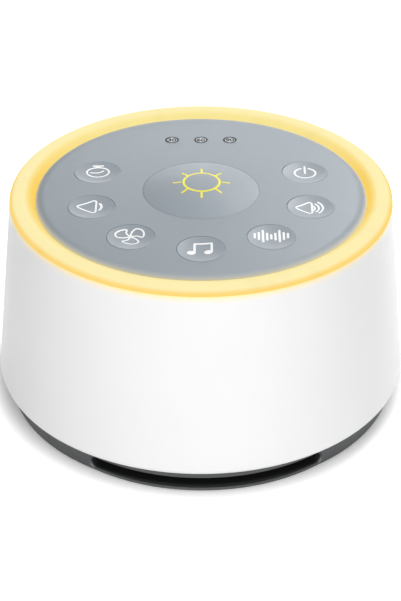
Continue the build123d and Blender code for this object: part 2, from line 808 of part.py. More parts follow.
def base_tray():
    """Dark base with the sound slots, a sound diverter, screw posts and pockets for the feet."""
    inner = plinth_inner_radius
    spigot = shell_inner(base_joint_z) - 2 * slip_gap
    outline = [
        (0, foot_height),
        (plinth_radius - plinth_edge, foot_height),
        (plinth_radius, foot_height + plinth_edge),
        (plinth_radius, plinth_top_z),
        (spigot, plinth_top_z),
        (spigot, base_joint_z),
        (inner, base_joint_z),
        (inner, baffle_z),
        (inner - ledge_width, baffle_z),
        (inner - ledge_width, baffle_z - ledge_height),
        (inner, baffle_z - ledge_height),
        (inner, slot_low_z),
        (inner - floor_slope_width, floor_top_z),
        (diverter_radius, floor_top_z),
        (diverter_radius * diverter_bend[0], floor_top_z + diverter_height * diverter_bend[1]),
        (0, floor_top_z + diverter_height),
    ]
    tray = lathe(outline)
    core = rod(inner + plinth_wall / 2, foot_height, plinth_top_z)
    for swell in round_the_plinth(plinth_swell()):
        tray += swell - core
    tray = tray.cut(*round_the_plinth(sound_slot()))
    for place in quadrants(base_screw_circle, base_screw_angle):
        tray += rod(post_radius, foot_height, base_joint_z, place)
        tray -= rod(post_bore_radius, foot_height, post_seat_z, place)
        tray -= rod(base_screw_radius + slip_gap, post_seat_z, base_joint_z, place)
    for place in quadrants(baffle_screw_circle(), 45):
        tray += rod(small_boss_radius, floor_top_z, baffle_z, place)
        tray -= rod(small_screw_radius + pilot_gap, floor_top_z + pilot_floor, baffle_z, place)
    for place in quadrants(foot_circle_radius, 45):
        tray -= rod(foot_pad_radius + slip_gap / 2, foot_height, foot_height + foot_pocket, place)
    width, depth, sunk = label_recess
    label = extrude(RectangleRounded(width, depth, label_corner), sunk)
    return tray - Pos(0, 0, foot_height) * label


def baffle_screw_circle():
    """Radius of the circle of screws that hold the baffle, between the speaker and the wall."""
    return (speaker_flange_radius + plinth_inner_radius) / 2


def rubber_feet():
    """Four rubber pads in pockets under the base."""
    feet = []
    for place in quadrants(foot_circle_radius, 45):
        pad = rod(foot_pad_radius, 0, foot_height + foot_pocket, place)
        feet.append(chamfer(pad.edges().filter_by(GeomType.CIRCLE).sort_by(Axis.Z)[0], foot_bevel))
    return feet


def base_screws():
    """Four long screws up through the base posts into the shell's bosses."""
    tip = base_joint_z + base_screw_bite
    return [
        pan_screw(p, post_seat_z, tip, base_screw_radius, base_screw_head_radius, base_screw_head_height)
        for p in quadrants(base_screw_circle, base_screw_angle)
    ]


def speaker_baffle():
    """Plate that carries the speaker, the battery cradle and the main board."""
    plate = tube(plinth_inner_radius - seat_gap, speaker_opening, baffle_z, baffle_top_z)
    clear = post_radius + seat_gap
    notch = block((base_screw_circle, plinth_radius), (-clear, clear), (baffle_z, baffle_top_z))
    for place in quadrants(base_screw_circle, base_screw_angle):
        plate -= rod(clear, baffle_z, baffle_top_z, place)
        plate -= Rot(0, 0, heading(place)) * notch
    for place in quadrants(baffle_screw_circle(), 45):
        plate -= rod(small_screw_radius + slip_gap, baffle_z, baffle_top_z, place)
    pilot = small_screw_radius + pilot_gap
    for place in quadrants(speaker_screw_circle, 45):
        plate -= rod(pilot, baffle_z, baffle_top_z, place)
    for place in main_board_posts():
        plate += rod(main_board_post_radius, baffle_top_z, main_board_z, place)
        plate -= rod(pilot, baffle_top_z + pilot_floor, main_board_z, place)
    for tenon in cradle_tenons(slip_gap / 2):
        plate -= tenon
    return plate


def baffle_screws():
    """Four screws that hold the baffle on the base."""
    tip = baffle_z - baffle_screw_bite
    return small_screws(quadrants(baffle_screw_circle(), 45), baffle_top_z, tip, up=False)


# ------------------------------------------------------------------ speaker, facing down
def pole_radii():
    """(pole, hole) radii that leave an air gap each side of the voice coil."""
    return coil_radius - coil_wall - pole_gap, coil_radius + coil_wall + pole_gap


def speaker_gasket():
    """Foam ring between the speaker and the baffle."""
    outer, inner = speaker_flange_radius - gasket_inset, speaker_opening + slip_gap
    ring = tube(outer, inner, baffle_top_z, gasket_top_z)
    for place in quadrants(speaker_screw_circle, 45):
        ring -= rod(small_screw_radius + slip_gap, baffle_top_z, gasket_top_z, place)
    return ring


def speaker_basket():
    """Pressed steel frame with a flat flange and windows in its cone."""
    low, high = gasket_top_z, basket_top_z
    mouth = basket_lip_radius + basket_sheet
    outline = [
        (basket_lip_radius, low),
        (speaker_flange_radius, low),
        (speaker_flange_radius, flange_top_z),
        (mouth + basket_sheet, flange_top_z),
        (basket_back_radius, high - basket_sheet / 2),
        (basket_back_radius, high),
        (basket_back_hole, high),
        (basket_back_hole, high - basket_sheet),
        (basket_back_radius - basket_sheet, high - basket_sheet),
        (mouth, flange_top_z),
        (basket_lip_radius, flange_top_z),
    ]
    basket = lathe(outline)
    half = basket_window_width / 2
    window_z = (flange_top_z + basket_window_margin[0], high - basket_window_margin[1])
    window = block((basket_back_radius, speaker_flange_radius), (-half, half), window_z)
    for i in range(basket_window_count):
        basket -= Rot(0, 0, (i + 0.5) * 360 / basket_window_count) * window
    for place in quadrants(speaker_screw_circle, 45):
        basket -= rod(small_screw_radius + slip_gap, low, flange_top_z, place)
    return basket


def speaker_screws():
    """Four screws that hold the speaker on the baffle."""
    return small_screws(quadrants(speaker_screw_circle, 45), flange_top_z, baffle_z + seat_gap, up=False)


def speaker_front_plate():
    """Steel plate with the hole that the voice coil moves in."""
    return tube(pole_plate_radius, pole_radii()[1], basket_top_z, basket_top_z + pole_plate_thickness)


def speaker_magnet():
    """Ferrite ring magnet."""
    ring = tube(magnet_radius, magnet_hole, magnet_z, magnet_z + magnet_height)
    rims = ring.edges().filter_by(GeomType.CIRCLE).group_by(SortBy.RADIUS)[-1]
    return chamfer(rims, magnet_bevel)


def speaker_yoke():
    """Steel back plate with the pole in its middle."""
    low = magnet_z + magnet_height
    plate = rod(pole_plate_radius, low, low + pole_plate_thickness)
    return plate + rod(pole_radii()[0], basket_top_z, low)


def cone_front_z(radius):
    """Height of the cone's front face at a radius."""
    outer, inner = surround_radius - surround_glue, coil_outer
    low, high = gasket_top_z, cone_neck_z - coil_neck
    return low + (high - low) * (outer - radius) / (outer - inner)


def speaker_cone():
    """Paper cone from the surround up to the voice coil."""
    low = gasket_top_z
    rim = surround_radius - surround_glue
    outline = [
        (surround_radius - glue_line, low),
        (surround_radius - glue_line, low + cone_sheet),
        (rim, low + cone_sheet),
        (coil_outer + cone_sheet, cone_neck_z),
        (coil_outer, cone_neck_z),
        (coil_outer, cone_front_z(coil_outer)),
        (rim, low),
    ]
    return lathe(outline)


def dust_cap():
    """Domed cap glued on the front of the cone, over the coil."""
    high = cone_front_z(dust_cap_radius) - glue_line
    ball = (dust_cap_radius**2 + dust_cap_bulge**2) / (2 * dust_cap_bulge)
    centre = high - dust_cap_bulge + ball
    skin = Pos(0, 0, centre) * (Sphere(ball) - Sphere(ball - dust_cap_sheet))
    return skin & rod(2 * dust_cap_radius, high - 2 * dust_cap_bulge, high)


def voice_coil():
    """Coil and its former, which move in the magnet's air gap."""
    low = cone_neck_z - coil_neck
    return tube(coil_outer - glue_line, coil_radius - coil_wall, low, low + coil_length)


def speaker_surround():
    """Rolled rubber edge glued under the basket's flange and under the cone's rim."""
    inner, outer = surround_radius, basket_lip_radius
    middle = (inner + outer) / 2
    high = gasket_top_z
    low = high - surround_sheet
    upper = ThreePointArc(
        (outer - surround_sheet, 0, high),
        (middle, 0, high - surround_roll + surround_sheet),
        (inner + surround_sheet, 0, high),
    )
    lower = ThreePointArc((inner, 0, low), (middle, 0, high - surround_roll), (outer, 0, low))
    inner_lip = [
        (inner + surround_sheet, high),
        (inner - surround_glue, high),
        (inner - surround_glue, low),
        (inner, low),
    ]
    outer_lip = [
        (outer, low),
        (outer + surround_glue, low),
        (outer + surround_glue, high),
        (outer - surround_sheet, high),
    ]
    lips = [line(a, b) for lip in (inner_lip, outer_lip) for a, b in zip(lip, lip[1:])]
    return lathe_edges(upper, lower, *lips)


def speaker_spider():
    """Corrugated cloth ring that centres the voice coil, glued under the basket's back ring."""
    seat = basket_top_z - basket_sheet
    lip = basket_back_hole + slip_gap
    outer = basket_back_radius - basket_sheet - slip_gap
    steps = 2 * spider_waves
    upper = [(outer, seat), (lip, seat)]
    for i in range(1, steps):
        radius = lip + (coil_outer + spider_sheet - lip) * i / steps
        upper.append((radius, seat - (spider_wave_height if i % 2 else 0)))
    upper.append((coil_outer, seat))
    lower = [(radius, z - spider_sheet) for radius, z in reversed(upper)]
    return lathe(upper + lower)


def speaker_tag():
    """Small terminal strip on the speaker's flange."""
    length, width, height = tag_size
    strip = Pos(0, -speaker_screw_circle, flange_top_z) * Box(length, width, height, align=BOTTOM)
    return Rot(0, 0, tag_angle) * strip


# ------------------------------------------------------------------ battery
def battery_cell():
    """Cylindrical cell lying across the front."""
    cell = Rot(0, 90, 0) * Cylinder(battery_radius, battery_length)
    rims = cell.edges().filter_by(GeomType.CIRCLE)
    return Pos(0, battery_y, battery_z) * fillet(rims, battery_edge_round)


def cradle_leg_places():
    """X of the two legs under the trough."""
    reach = cradle_length / 2 - cradle_leg[0]
    return -reach, reach


def cradle_tenons(grow=0.0):
    """Tenons under the legs, or the slots for them where grow is above 0."""
    width, depth = [size + 2 * grow for size in cradle_tenon]
    tenon = Box(width, depth, baffle_thickness, align=BOTTOM)
    return [Pos(x, battery_y, baffle_z) * tenon for x in cradle_leg_places()]


def battery_cradle():
    """Trough that holds the cell above the baffle, on two legs."""
    inner, outer = cradle_inner_radius, cradle_outer_radius
    axis = Pos(0, battery_y, battery_z) * Rot(0, 90, 0)
    trough = axis * (Cylinder(outer, cradle_length) - Cylinder(inner, cradle_length))
    high = battery_z - cradle_lip_drop
    across = (battery_y - 2 * outer, battery_y + 2 * outer)
    trough -= block((-cradle_length, cradle_length), across, (high, high + 2 * outer))
    width, depth = cradle_leg
    core = axis * Cylinder(inner + cradle_wall / 2, cradle_length)
    leg = Box(width, depth, high - baffle_top_z, align=BOTTOM)
    for x in cradle_leg_places():
        trough += Pos(x, battery_y, baffle_top_z) * leg - core
    for tenon in cradle_tenons():
        trough += tenon
    return trough


def battery_strap():
    """Stretched band round the cell and its cradle."""
    inner = battery_radius + glue_line
    cradle = cradle_outer_radius + glue_line
    drop = cradle_lip_drop
    reach = math.sqrt(cradle**2 - drop**2)
    touch = math.acos(inner / cradle) - math.asin(drop / cradle)
    touch_x, touch_y = inner * math.cos(touch), inner * math.sin(touch)
    top = ThreePointArc((touch_x, touch_y), (0, inner), (-touch_x, touch_y))
    left = Line((-touch_x, touch_y), (-reach, -drop))
    low = ThreePointArc((-reach, -drop), (0, -cradle), (reach, -drop))
    right = Line((reach, -drop), (touch_x, touch_y))
    hole = make_face(Wire([top, left, low, right]))
    band = offset(hole, strap_thickness) - hole
    turn = Plane((0, battery_y, battery_z), x_dir=(0, 1, 0), z_dir=(1, 0, 0))
    return turn * extrude(band, strap_width / 2, both=True)


# ------------------------------------------------------------------ main board
def main_board_posts():
    """Places of the four posts under the main board."""
    x = main_board_half_width - small_screw_head_radius - seat_gap
    front = main_board_front_y + main_board_post_inset[0]
    back = main_board_back_y - main_board_post_inset[1]
    return [(side * x, y) for side in (-1, 1) for y in (front, back)]


def main_board():
    """Circuit board at the back with the sockets, the amplifier and the charger."""
    x = (-main_board_half_width, main_board_half_width)
    board = block(x, (main_board_front_y, main_board_back_y), (main_board_z, main_board_top_z))
    board = fillet(board.edges().filter_by(Axis.Z), main_board_corner)
    for place in main_board_posts():
        board -= rod(small_screw_radius + slip_gap, main_board_z, main_board_top_z, place)
    return board


def main_board_screws():
    """Four screws that hold the main board on its posts."""
    return small_screws(main_board_posts(), main_board_top_z, baffle_top_z + pilot_spare, up=False)


def main_board_components():
    """Sound processor, amplifier and charger chips, and two upright capacitors."""
    low = main_board_top_z
    made = []
    for x, inset, width, depth in main_chips:
        chip = Box(width, depth, main_chip_height, align=BOTTOM)
        made.append(Pos(x, main_board_back_y - inset, low) * chip)
    for x, inset in capacitor_places:
        made.append(rod(capacitor_radius, low, low + capacitor_height, (x, main_board_back_y - inset)))
    return made


def usb_socket():
    """Charging socket: a steel shell with a contact tongue inside."""
    front = math.sqrt(shell_outer(usb_z) ** 2 - (abs(usb_x) + usb_width / 2) ** 2) - slip_gap
    turn = Pos(usb_x, front - usb_length, usb_z) * Rot(-90, 0, 0)
    outer = extrude(SlotOverall(usb_width, usb_height), usb_length)
    hollow = SlotOverall(usb_width - 2 * usb_wall, usb_height - 2 * usb_wall)
    inner = Pos(0, 0, usb_back_wall) * extrude(hollow, usb_length)
    width, thickness, length = usb_tongue
    return turn * (outer - inner + Box(width, thickness, usb_back_wall + length, align=BOTTOM))


def phones_jack():
    """Headphone jack body with its blind bore."""
    half = jack_body_width / 2
    back = jack_front_y - jack_bore_length - jack_back_wall
    heights = (main_board_top_z, main_board_top_z + jack_body_height)
    body = block((jack_x - half, jack_x + half), (back, jack_front_y), heights)
    bore = Pos(jack_x, jack_front_y, jack_z) * Rot(90, 0, 0)
    return body - bore * Cylinder(jack_bore_radius, jack_bore_length, align=BOTTOM)


# ------------------------------------------------------------------ connectors and internal leads
def board_connectors():
    """Lead connectors on the main board, and the ribbon's two sockets."""
    plug = Box(*connector_size, align=BOTTOM)
    plugs = [Pos(x, connector_y, main_board_top_z) * plug for x in (-connector_x, connector_x)]
    socket = Box(*ribbon_socket, align=BOTTOM)
    upper = Pos(0, ribbon_top_y, board_under_z - ribbon_socket[2]) * socket
    lower = Pos(0, ribbon_low_y, main_board_top_z) * socket
    return [*plugs, upper, lower]


def ribbon_cable():
    """Flat cable from the control board down to the main board."""
    high = board_under_z - ribbon_socket[2]
    low = main_board_top_z + ribbon_socket[2]
    fall = high - low
    points = [
        (0, ribbon_top_y, high),
        (0, ribbon_top_y, high - fall * ribbon_straight),
        (0, ribbon_low_y, low + fall * ribbon_straight),
        (0, ribbon_low_y, low),
    ]
    path = FilletPolyline(*points, radius=fall * ribbon_bend)
    section = Plane(path @ 0, x_dir=(1, 0, 0), z_dir=path % 0) * Rectangle(ribbon_width, ribbon_sheet)
    return sweep(section, path)


def lamp_lead_z():
    """Height at which the lamp's leads pass through the chassis wall."""
    return chassis_floor_z + lamp_lead_rise


def lamp_leads():
    """Two leads from the control board through the chassis wall to the lamp board."""
    start = control_board_radius - lamp_lead_inset
    end = channel_radii()[0] + chassis_wall + lamp_lead_reach
    level = lamp_lead_z()
    end_z = chassis_floor_z + lamp_board_thickness
    route = [(start, board_top_z), (start, level), (end, level), (end, end_z)]
    leads = []
    for side in (-lamp_wire_pitch / 2, lamp_wire_pitch / 2):
        path = [(r, side, z) for r, z in route]
        leads.append(Rot(0, 0, lamp_lead_angle) * wire(path, lamp_wire_radius))
    return leads


def battery_leads():
    """Two leads from the cell's end round the speaker to the main board."""
    cell_end = battery_length / 2
    plug_x = connector_x + connector_size[0] / 2
    leads = []
    for side in (-wire_pitch / 2, wire_pitch / 2):
        cell_z = battery_z + 2 + side
        plug_z = main_board_top_z + connector_size[2] / 2 + side
        route = [
            (cell_end, battery_y, cell_z),
            (cell_end + 4, battery_y, cell_z),
            (cell_end + 4.1, -18.0, 26.0 + side),
            (cell_end + 3.5, -3.0, 27.0 + side),
            (cell_end + 1.9, 12.0, 25.0 + side),
            (29.5, 25.0, 20.5 + side),
            (plug_x + 6, connector_y, plug_z),
            (plug_x, connector_y, plug_z),
        ]
        leads.append(wire(route, wire_radius))
    return leads


def speaker_leads():
    """Two leads from the speaker's terminal strip to the main board."""
    plug_x = connector_x + connector_size[0] / 2
    plug_z = main_board_top_z + connector_size[2] / 2
    tag_z = flange_top_z + tag_size[2]
    tag_x, tag_y = polar(speaker_screw_circle, tag_angle - 90)
    tag_turn = math.radians(tag_angle)
    leads = []
    for side in (-wire_pitch / 2, wire_pitch / 2):
        start_x, start_y = tag_x + side * math.cos(tag_turn), tag_y + side * math.sin(tag_turn)
        route = [
            (start_x, start_y, tag_z),
            (start_x, start_y, tag_z + 5),
            (-25.5 - side, 22.5, plug_z + 1),
            (-plug_x - 6.5 - side, connector_y + side, plug_z),
            (-plug_x, connector_y + side, plug_z),
        ]
        leads.append(wire(route, wire_radius))
    return leads


# ------------------------------------------------------------------ build everything
def main():
    os.makedirs("parts", exist_ok=True)
    save("body_shell", body_shell())
    save("light_ring", light_ring())
    save("lamp_chassis", chassis())
    save("chassis_screws", *chassis_screws())
    save("lamp_board", lamp_board())
    save("lamp_leds", *lamp_leds())
    save("top_panel", top_panel())
    save("panel_screws", *panel_screws())
    save("indicator_light_pipes", *indicator_pipes())
    for name, step in zip(key_names, key_steps):
        save(f"{name}_key", small_key(step))
        save(f"{name}_switch_plunger", plunger(key_place(step)))
    save("light_key", light_key())
    save("light_switch_plunger", plunger((0, 0)))
    save("key_switch_bodies", *key_switches())
    save("control_board", control_board())
    save("control_board_screws", *control_board_screws())
    save("control_board_chips", *control_chips())
    save("indicator_leds", *indicator_leds())
    save("base_tray", base_tray())
    save("rubber_feet", *rubber_feet())
    save("base_screws", *base_screws())
    save("speaker_baffle", speaker_baffle())
    save("baffle_screws", *baffle_screws())
    save("speaker_gasket", speaker_gasket())
    save("speaker_basket", speaker_basket())
    save("speaker_screws", *speaker_screws())
    save("speaker_front_plate", speaker_front_plate())
    save("speaker_magnet", speaker_magnet())
    save("speaker_yoke", speaker_yoke())
    save("speaker_cone", speaker_cone())
    save("speaker_dust_cap", dust_cap())
    save("speaker_voice_coil", voice_coil())
    save("speaker_surround", speaker_surround())
    save("speaker_spider", speaker_spider())
    save("speaker_terminal_strip", speaker_tag())
    save("speaker_leads", *speaker_leads())
    save("battery_cell", battery_cell())
    save("battery_cradle", battery_cradle())
    save("battery_strap", battery_strap())
    save("battery_leads", *battery_leads())
    save("main_board", main_board())
    save("main_board_screws", *main_board_screws())
    save("main_board_components", *main_board_components())
    save("usb_socket", usb_socket())
    save("phones_jack", phones_jack())
    save("board_connectors", *board_connectors())
    save("ribbon_cable", ribbon_cable())
    save("lamp_leads", *lamp_leads())


main()
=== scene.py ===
"""Finish of a bedside sound machine: its plastics, lit ring, printed pictograms, small fittings and stage.

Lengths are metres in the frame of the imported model: +Z up, -Y the front, the table at Z 0.
"""

import json

import bmesh
import bpy
import numpy as np
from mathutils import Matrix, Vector


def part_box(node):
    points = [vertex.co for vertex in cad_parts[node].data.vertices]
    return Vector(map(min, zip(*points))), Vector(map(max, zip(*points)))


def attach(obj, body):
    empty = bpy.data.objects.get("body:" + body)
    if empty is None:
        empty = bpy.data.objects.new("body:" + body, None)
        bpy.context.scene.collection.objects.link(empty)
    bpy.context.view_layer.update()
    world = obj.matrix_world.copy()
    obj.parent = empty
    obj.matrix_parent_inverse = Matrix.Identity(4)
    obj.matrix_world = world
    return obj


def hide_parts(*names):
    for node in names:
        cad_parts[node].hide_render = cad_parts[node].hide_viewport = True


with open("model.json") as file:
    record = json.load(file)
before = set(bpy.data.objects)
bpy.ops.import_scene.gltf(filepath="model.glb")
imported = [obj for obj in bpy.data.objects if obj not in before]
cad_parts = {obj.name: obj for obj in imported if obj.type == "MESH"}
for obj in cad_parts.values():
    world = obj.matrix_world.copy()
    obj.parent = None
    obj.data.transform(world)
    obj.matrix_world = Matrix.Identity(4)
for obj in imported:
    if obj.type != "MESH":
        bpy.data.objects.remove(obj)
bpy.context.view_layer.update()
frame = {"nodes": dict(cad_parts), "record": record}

bl_info = {
    "name": "Sound Machine Finish",
    "version": (1, 0, 0),
    "blender": (4, 5, 0),
    "location": "View3D > Sidebar > Sound Machine",
    "description": "Plastics, lit ring, pictograms, fittings and stage of a bedside sound machine",
    "category": "Object",
}

MM = 0.001
MARKS = ("30", "60", "90")
STEPS = ("finishes", "keys", "light_key", "pictograms", "timer_marks", "feet", "sockets", "stage")
SLOTS = {part["node"]: part["material_slot"] for part in frame["record"]["subparts"]}


# ---- places read from the frame
def node_box(node):
    """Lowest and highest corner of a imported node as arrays."""
    low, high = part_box(node)
    return np.array(low), np.array(high)


def key_centre(node):
    """Middle (x, y) of a key, and the height of its upper rim."""
    low, high = node_box(node)
    return (low[0] + high[0]) / 2, (low[1] + high[1]) / 2, high[2]


# radii of the round parts, which stand about the upright axis, and heights of two tops
PANEL_RIM, RING_RIM, SHELL_RIM, BASE_RIM = (
    float(node_box(node)[1][0]) for node in ("top_panel", "light_ring", "body_shell", "base_tray")
)
SHELL_TOP, LIGHT_KEY_TOP = (float(node_box(node)[1][2]) for node in ("body_shell", "light_key"))


def linear(red, green, blue):
    """Colour written as 0 to 255 screen values, turned by the sRGB curve into the linear values of shaders."""
    screen = np.array((red, green, blue)) / 255
    value = np.where(screen <= 0.04045, screen / 12.92, ((screen + 0.055) / 1.055) ** 2.4)
    return tuple(float(v) for v in value)


def paint(name, description, *screen):
    """Colour property with its default in screen values."""
    return bpy.props.FloatVectorProperty(
        name=name, description=description, default=linear(*screen), size=3, min=0, max=1, subtype="COLOR"
    )


def length(name, description, millimetres):
    """Length property with its default in millimetres."""
    return bpy.props.FloatProperty(
        name=name, description=description, default=millimetres * MM, min=0, precision=5, unit="LENGTH"
    )


def watts(name, description, power):
    """Lamp power property."""
    return bpy.props.FloatProperty(name=name, description=description, default=power, min=0, unit="POWER")


def share(name, description, part):
    """Property from 0, none, to 1, all."""
    return bpy.props.FloatProperty(
        name=name, description=description, default=part, min=0, max=1, subtype="FACTOR"
    )


# ---- settings
class SoundMachineColours(bpy.types.PropertyGroup):
    """Colours of the plastics, prints and light."""

    shell: paint("Shell", "Satin white of the body shell", 244, 244, 244)
    panel: paint("Panel", "Blue-grey of the keypad and its keys", 151, 160, 168)
    base: paint("Base", "Dark grey of the base", 66, 68, 69)
    print_white: paint("Pictograms", "Ink of the key pictograms", 250, 251, 252)
    print_yellow: paint("Light pictogram", "Ink of the pictogram on the light key", 240, 230, 66)
    print_grey: paint("Timer marks", "Ink of the timer marks and their numbers", 20, 23, 28)
    # the ring's colours paint the shading of its rounded profile: a pale crown, deeper edges, a deeper inner
    # wall at the sides
    ring_crown: paint("Ring crown", "Palest part of the lit ring", 254, 239, 178)
    ring_outer: paint("Ring outer edge", "Outer edge of the lit ring", 253, 216, 122)
    ring_inner: paint("Ring inner edge", "Inner edge of the lit ring", 249, 231, 152)
    ring_side_shade: paint("Ring inner wall", "Inner wall of the lit ring at both sides", 252, 211, 102)


class SoundMachineSizes(bpy.types.PropertyGroup):
    """Sizes of the keys, prints and fittings."""

    key_diameter: length("Key diameter", "Diameter of the round keys", 12.4)
    key_edge: length("Key edge", "Rounding of a key's upper edge", 0.12)
    key_skirt: length("Key skirt", "Height of a key's wall above its flange", 2.39)
    key_flange: length("Key flange", "Width and height of a key's flange", 0.9)
    dish_diameter: length("Dish diameter", "Diameter of the dish in a key", 12.0)
    dish_depth: length("Dish depth", "Depth of the dish in a key", 0.7)
    light_key_diameter: length("Light key diameter", "Diameter of the domed key", 31.0)
    light_key_rise: length("Light key rise", "Rise of the dome above its edge", 2.2)
    stroke: length("Stroke", "Width of a pictogram's line", 0.5)
    light_stroke: length("Light stroke", "Line width of the pictogram on the light key", 0.66)
    mark_stroke: length("Mark stroke", "Line width of the circles round the timer marks", 0.52)
    mark_proud: length("Mark head", "Height of the timer marks' heads above their light pipes", 0.12)
    mark_height: length("Number height", "Height of the timer numbers", 1.85)
    ink: length("Ink", "Thickness of the printed ink", 0.025)
    contacts: bpy.props.IntProperty(
        name="Contacts", description="Gold contacts on each face of the charging socket's tongue",
        default=12, min=1,
    )


class SoundMachineStage(bpy.types.PropertyGroup):
    """Camera, lamps and floor."""

    camera_place: bpy.props.FloatVectorProperty(
        name="Camera place", description="Where the camera stands", default=(-0.000133, -0.40795, 0.28662),
        size=3, subtype="TRANSLATION", unit="LENGTH",
    )
    camera_tilt: bpy.props.FloatProperty(
        name="Camera tilt", description="Angle of the camera's view above straight down",
        default=np.radians(57.251), subtype="ANGLE", unit="ROTATION",
    )
    lens: bpy.props.FloatProperty(
        name="Lens", description="Focal length on a 36 mm frame, in millimetres", default=104.72, min=1
    )
    front_power: watts("Front lamp", "Power of the wide lamp at the front", 20.2)
    back_power: watts("Back lamp", "Power of the lamp behind at the right", 1.02)
    low_power: watts("Low lamp", "Power of the small low lamp straight behind", 0.38)
    ambient: share("Ambient", "Even light from all round", 0.26)
    floor_light: share("Floor light", "Part of the floor's white that no shadow darkens", 0.76)
    floor_near: share("Floor light near", "The same part close to the machine", 0.05)
    floor_bounce: share("Floor bounce", "Part of the light that the floor throws back on the machine", 0.55)


# ---- surfaces
MERGE, SLIVER = 1e-7, 1e-8  # points nearer than the first become one, and edges shorter than the second go
CORNER_STEPS, CURVE_STEPS, CAP_STEPS = 9, 14, 6  # points on a rounded corner, a curve's stretch, a line's end
PATCH_RINGS, PATCH_SIDES = 6, 28

# cross-section of a printed line: half widths across, and ink thicknesses up
BAND = np.array([(-1, 0), (-0.82, 1), (-0.4, 1), (0.4, 1), (0.82, 1), (1, 0), (0.4, -1), (-0.4, -1)])


def placed(name, data):
    """Object with this data, linked to the scene."""
    made = bpy.data.objects.new(name, data)
    bpy.context.scene.collection.objects.link(made)
    return made


def weave(rows, columns, wrap_rows, wrap_columns):
    """Faces of a grid: each joins a point, its neighbour along the row, and the two after them."""
    index = np.arange(rows * columns).reshape(rows, columns)
    if wrap_rows:
        index = np.vstack([index, index[:1]])
    if wrap_columns:
        index = np.hstack([index, index[:, :1]])
    corners = (index[:-1, :-1], index[:-1, 1:], index[1:, 1:], index[1:, :-1])
    return np.stack([c.ravel() for c in corners], axis=1)


def piece(name, grids, material, body, sharp=40):
    """Object from closed grids of points, each given as (points, wraps along rows, wraps along columns)."""
    points, faces, start = [], [], 0
    for grid, wrap_rows, wrap_columns in grids:
        rows, columns = grid.shape[:2]
        points.append(grid.reshape(-1, 3))
        faces.append(weave(rows, columns, wrap_rows, wrap_columns) + start)
        start += rows * columns
    mesh = bpy.data.meshes.new(name)
    mesh.from_pydata(np.vstack(points).tolist(), [], np.vstack(faces).tolist())
    return finish_piece(name, mesh, material, body, sharp)


def finish_piece(name, mesh, material, body, sharp=40):
    """Closes poles and seams, turns the faces outwards, and hangs the piece on its body."""
    work = bmesh.new()
    work.from_mesh(mesh)
    bmesh.ops.remove_doubles(work, verts=work.verts, dist=MERGE)
    bmesh.ops.dissolve_degenerate(work, edges=work.edges, dist=SLIVER)
    bmesh.ops.recalc_face_normals(work, faces=work.faces)
    work.to_mesh(mesh)
    work.free()
    mesh.shade_smooth()
    mesh.set_sharp_from_angle(angle=np.radians(sharp))
    mesh.materials.append(material)
    made = placed(name, mesh)
    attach(made, body)
    return made


def turned(outline, place=(0, 0), sides=96):
    """Grid of an outline of (radius, height) points carried round an upright axis at (x, y)."""
    outline = np.asarray(outline)
    angle = np.linspace(0, 2 * np.pi, sides, endpoint=False)[:, None]
    grid = np.empty((sides, len(outline), 3))
    grid[..., 0] = place[0] + outline[:, 0] * np.cos(angle)
    grid[..., 1] = place[1] + outline[:, 0] * np.sin(angle)
    grid[..., 2] = outline[:, 1]
    return grid, True, False


def bend(centre, radius, start, end, steps):
    """Points (a, b) of an arc about a centre between two angles in degrees."""
    angle = np.radians(np.linspace(start, end, steps))
    return np.stack([centre[0] + radius * np.cos(angle), centre[1] + radius * np.sin(angle)], axis=1)


def along(points, spacing):
    """Points spaced evenly along a polyline."""
    points = np.asarray(points, float)
    run = np.concatenate([[0], np.cumsum(np.linalg.norm(np.diff(points, axis=0), axis=1))])
    steps = max(2, int(np.ceil(run[-1] / spacing)) + 1)
    place = np.linspace(0, run[-1], steps)
    return np.stack([np.interp(place, run, points[:, i]) for i in (0, 1)], axis=1)


def flowing(points):
    """Smooth open curve through the points: between each pair it is a cubic whose end slopes are half the
    step between the neighbours of each end."""
    points = np.asarray(points, float)
    padded = np.vstack([points[:1], points, points[-1:]])
    before, a, b, after = padded[:-3], padded[1:-2], padded[2:-1], padded[3:]
    t = np.linspace(0, 1, CURVE_STEPS, endpoint=False)[:, None, None]
    curve = 0.5 * (
        2 * a
        + (b - before) * t
        + (2 * before - 5 * a + 4 * b - after) * t**2
        + (3 * a - before - 3 * b + after) * t**3
    )
    return np.vstack([curve.transpose(1, 0, 2).reshape(-1, 2), points[-1:]])


def rounded(corners, radius):
    """Closed polygon with each corner replaced by an arc that touches both of its sides."""
    corners = np.asarray(corners, float)
    parts = []
    for before, corner, after in zip(np.roll(corners, 1, 0), corners, np.roll(corners, -1, 0)):
        first, second = before - corner, after - corner
        first, second = first / np.linalg.norm(first), second / np.linalg.norm(second)
        half = np.arccos(np.clip(first @ second, -1, 1)) / 2
        middle = (first + second) / np.linalg.norm(first + second)
        centre = corner + middle * radius / np.sin(half)
        start = corner + first * radius / np.tan(half) - centre
        end = corner + second * radius / np.tan(half) - centre
        a, b = np.arctan2(start[1], start[0]), np.arctan2(end[1], end[0])
        turn = (b - a + np.pi) % (2 * np.pi) - np.pi
        angle = a + turn * np.linspace(0, 1, CORNER_STEPS)
        parts.append(centre + radius * np.stack([np.cos(angle), np.sin(angle)], axis=1))
    loop = np.vstack(parts)
    return np.vstack([loop, loop[:1]])


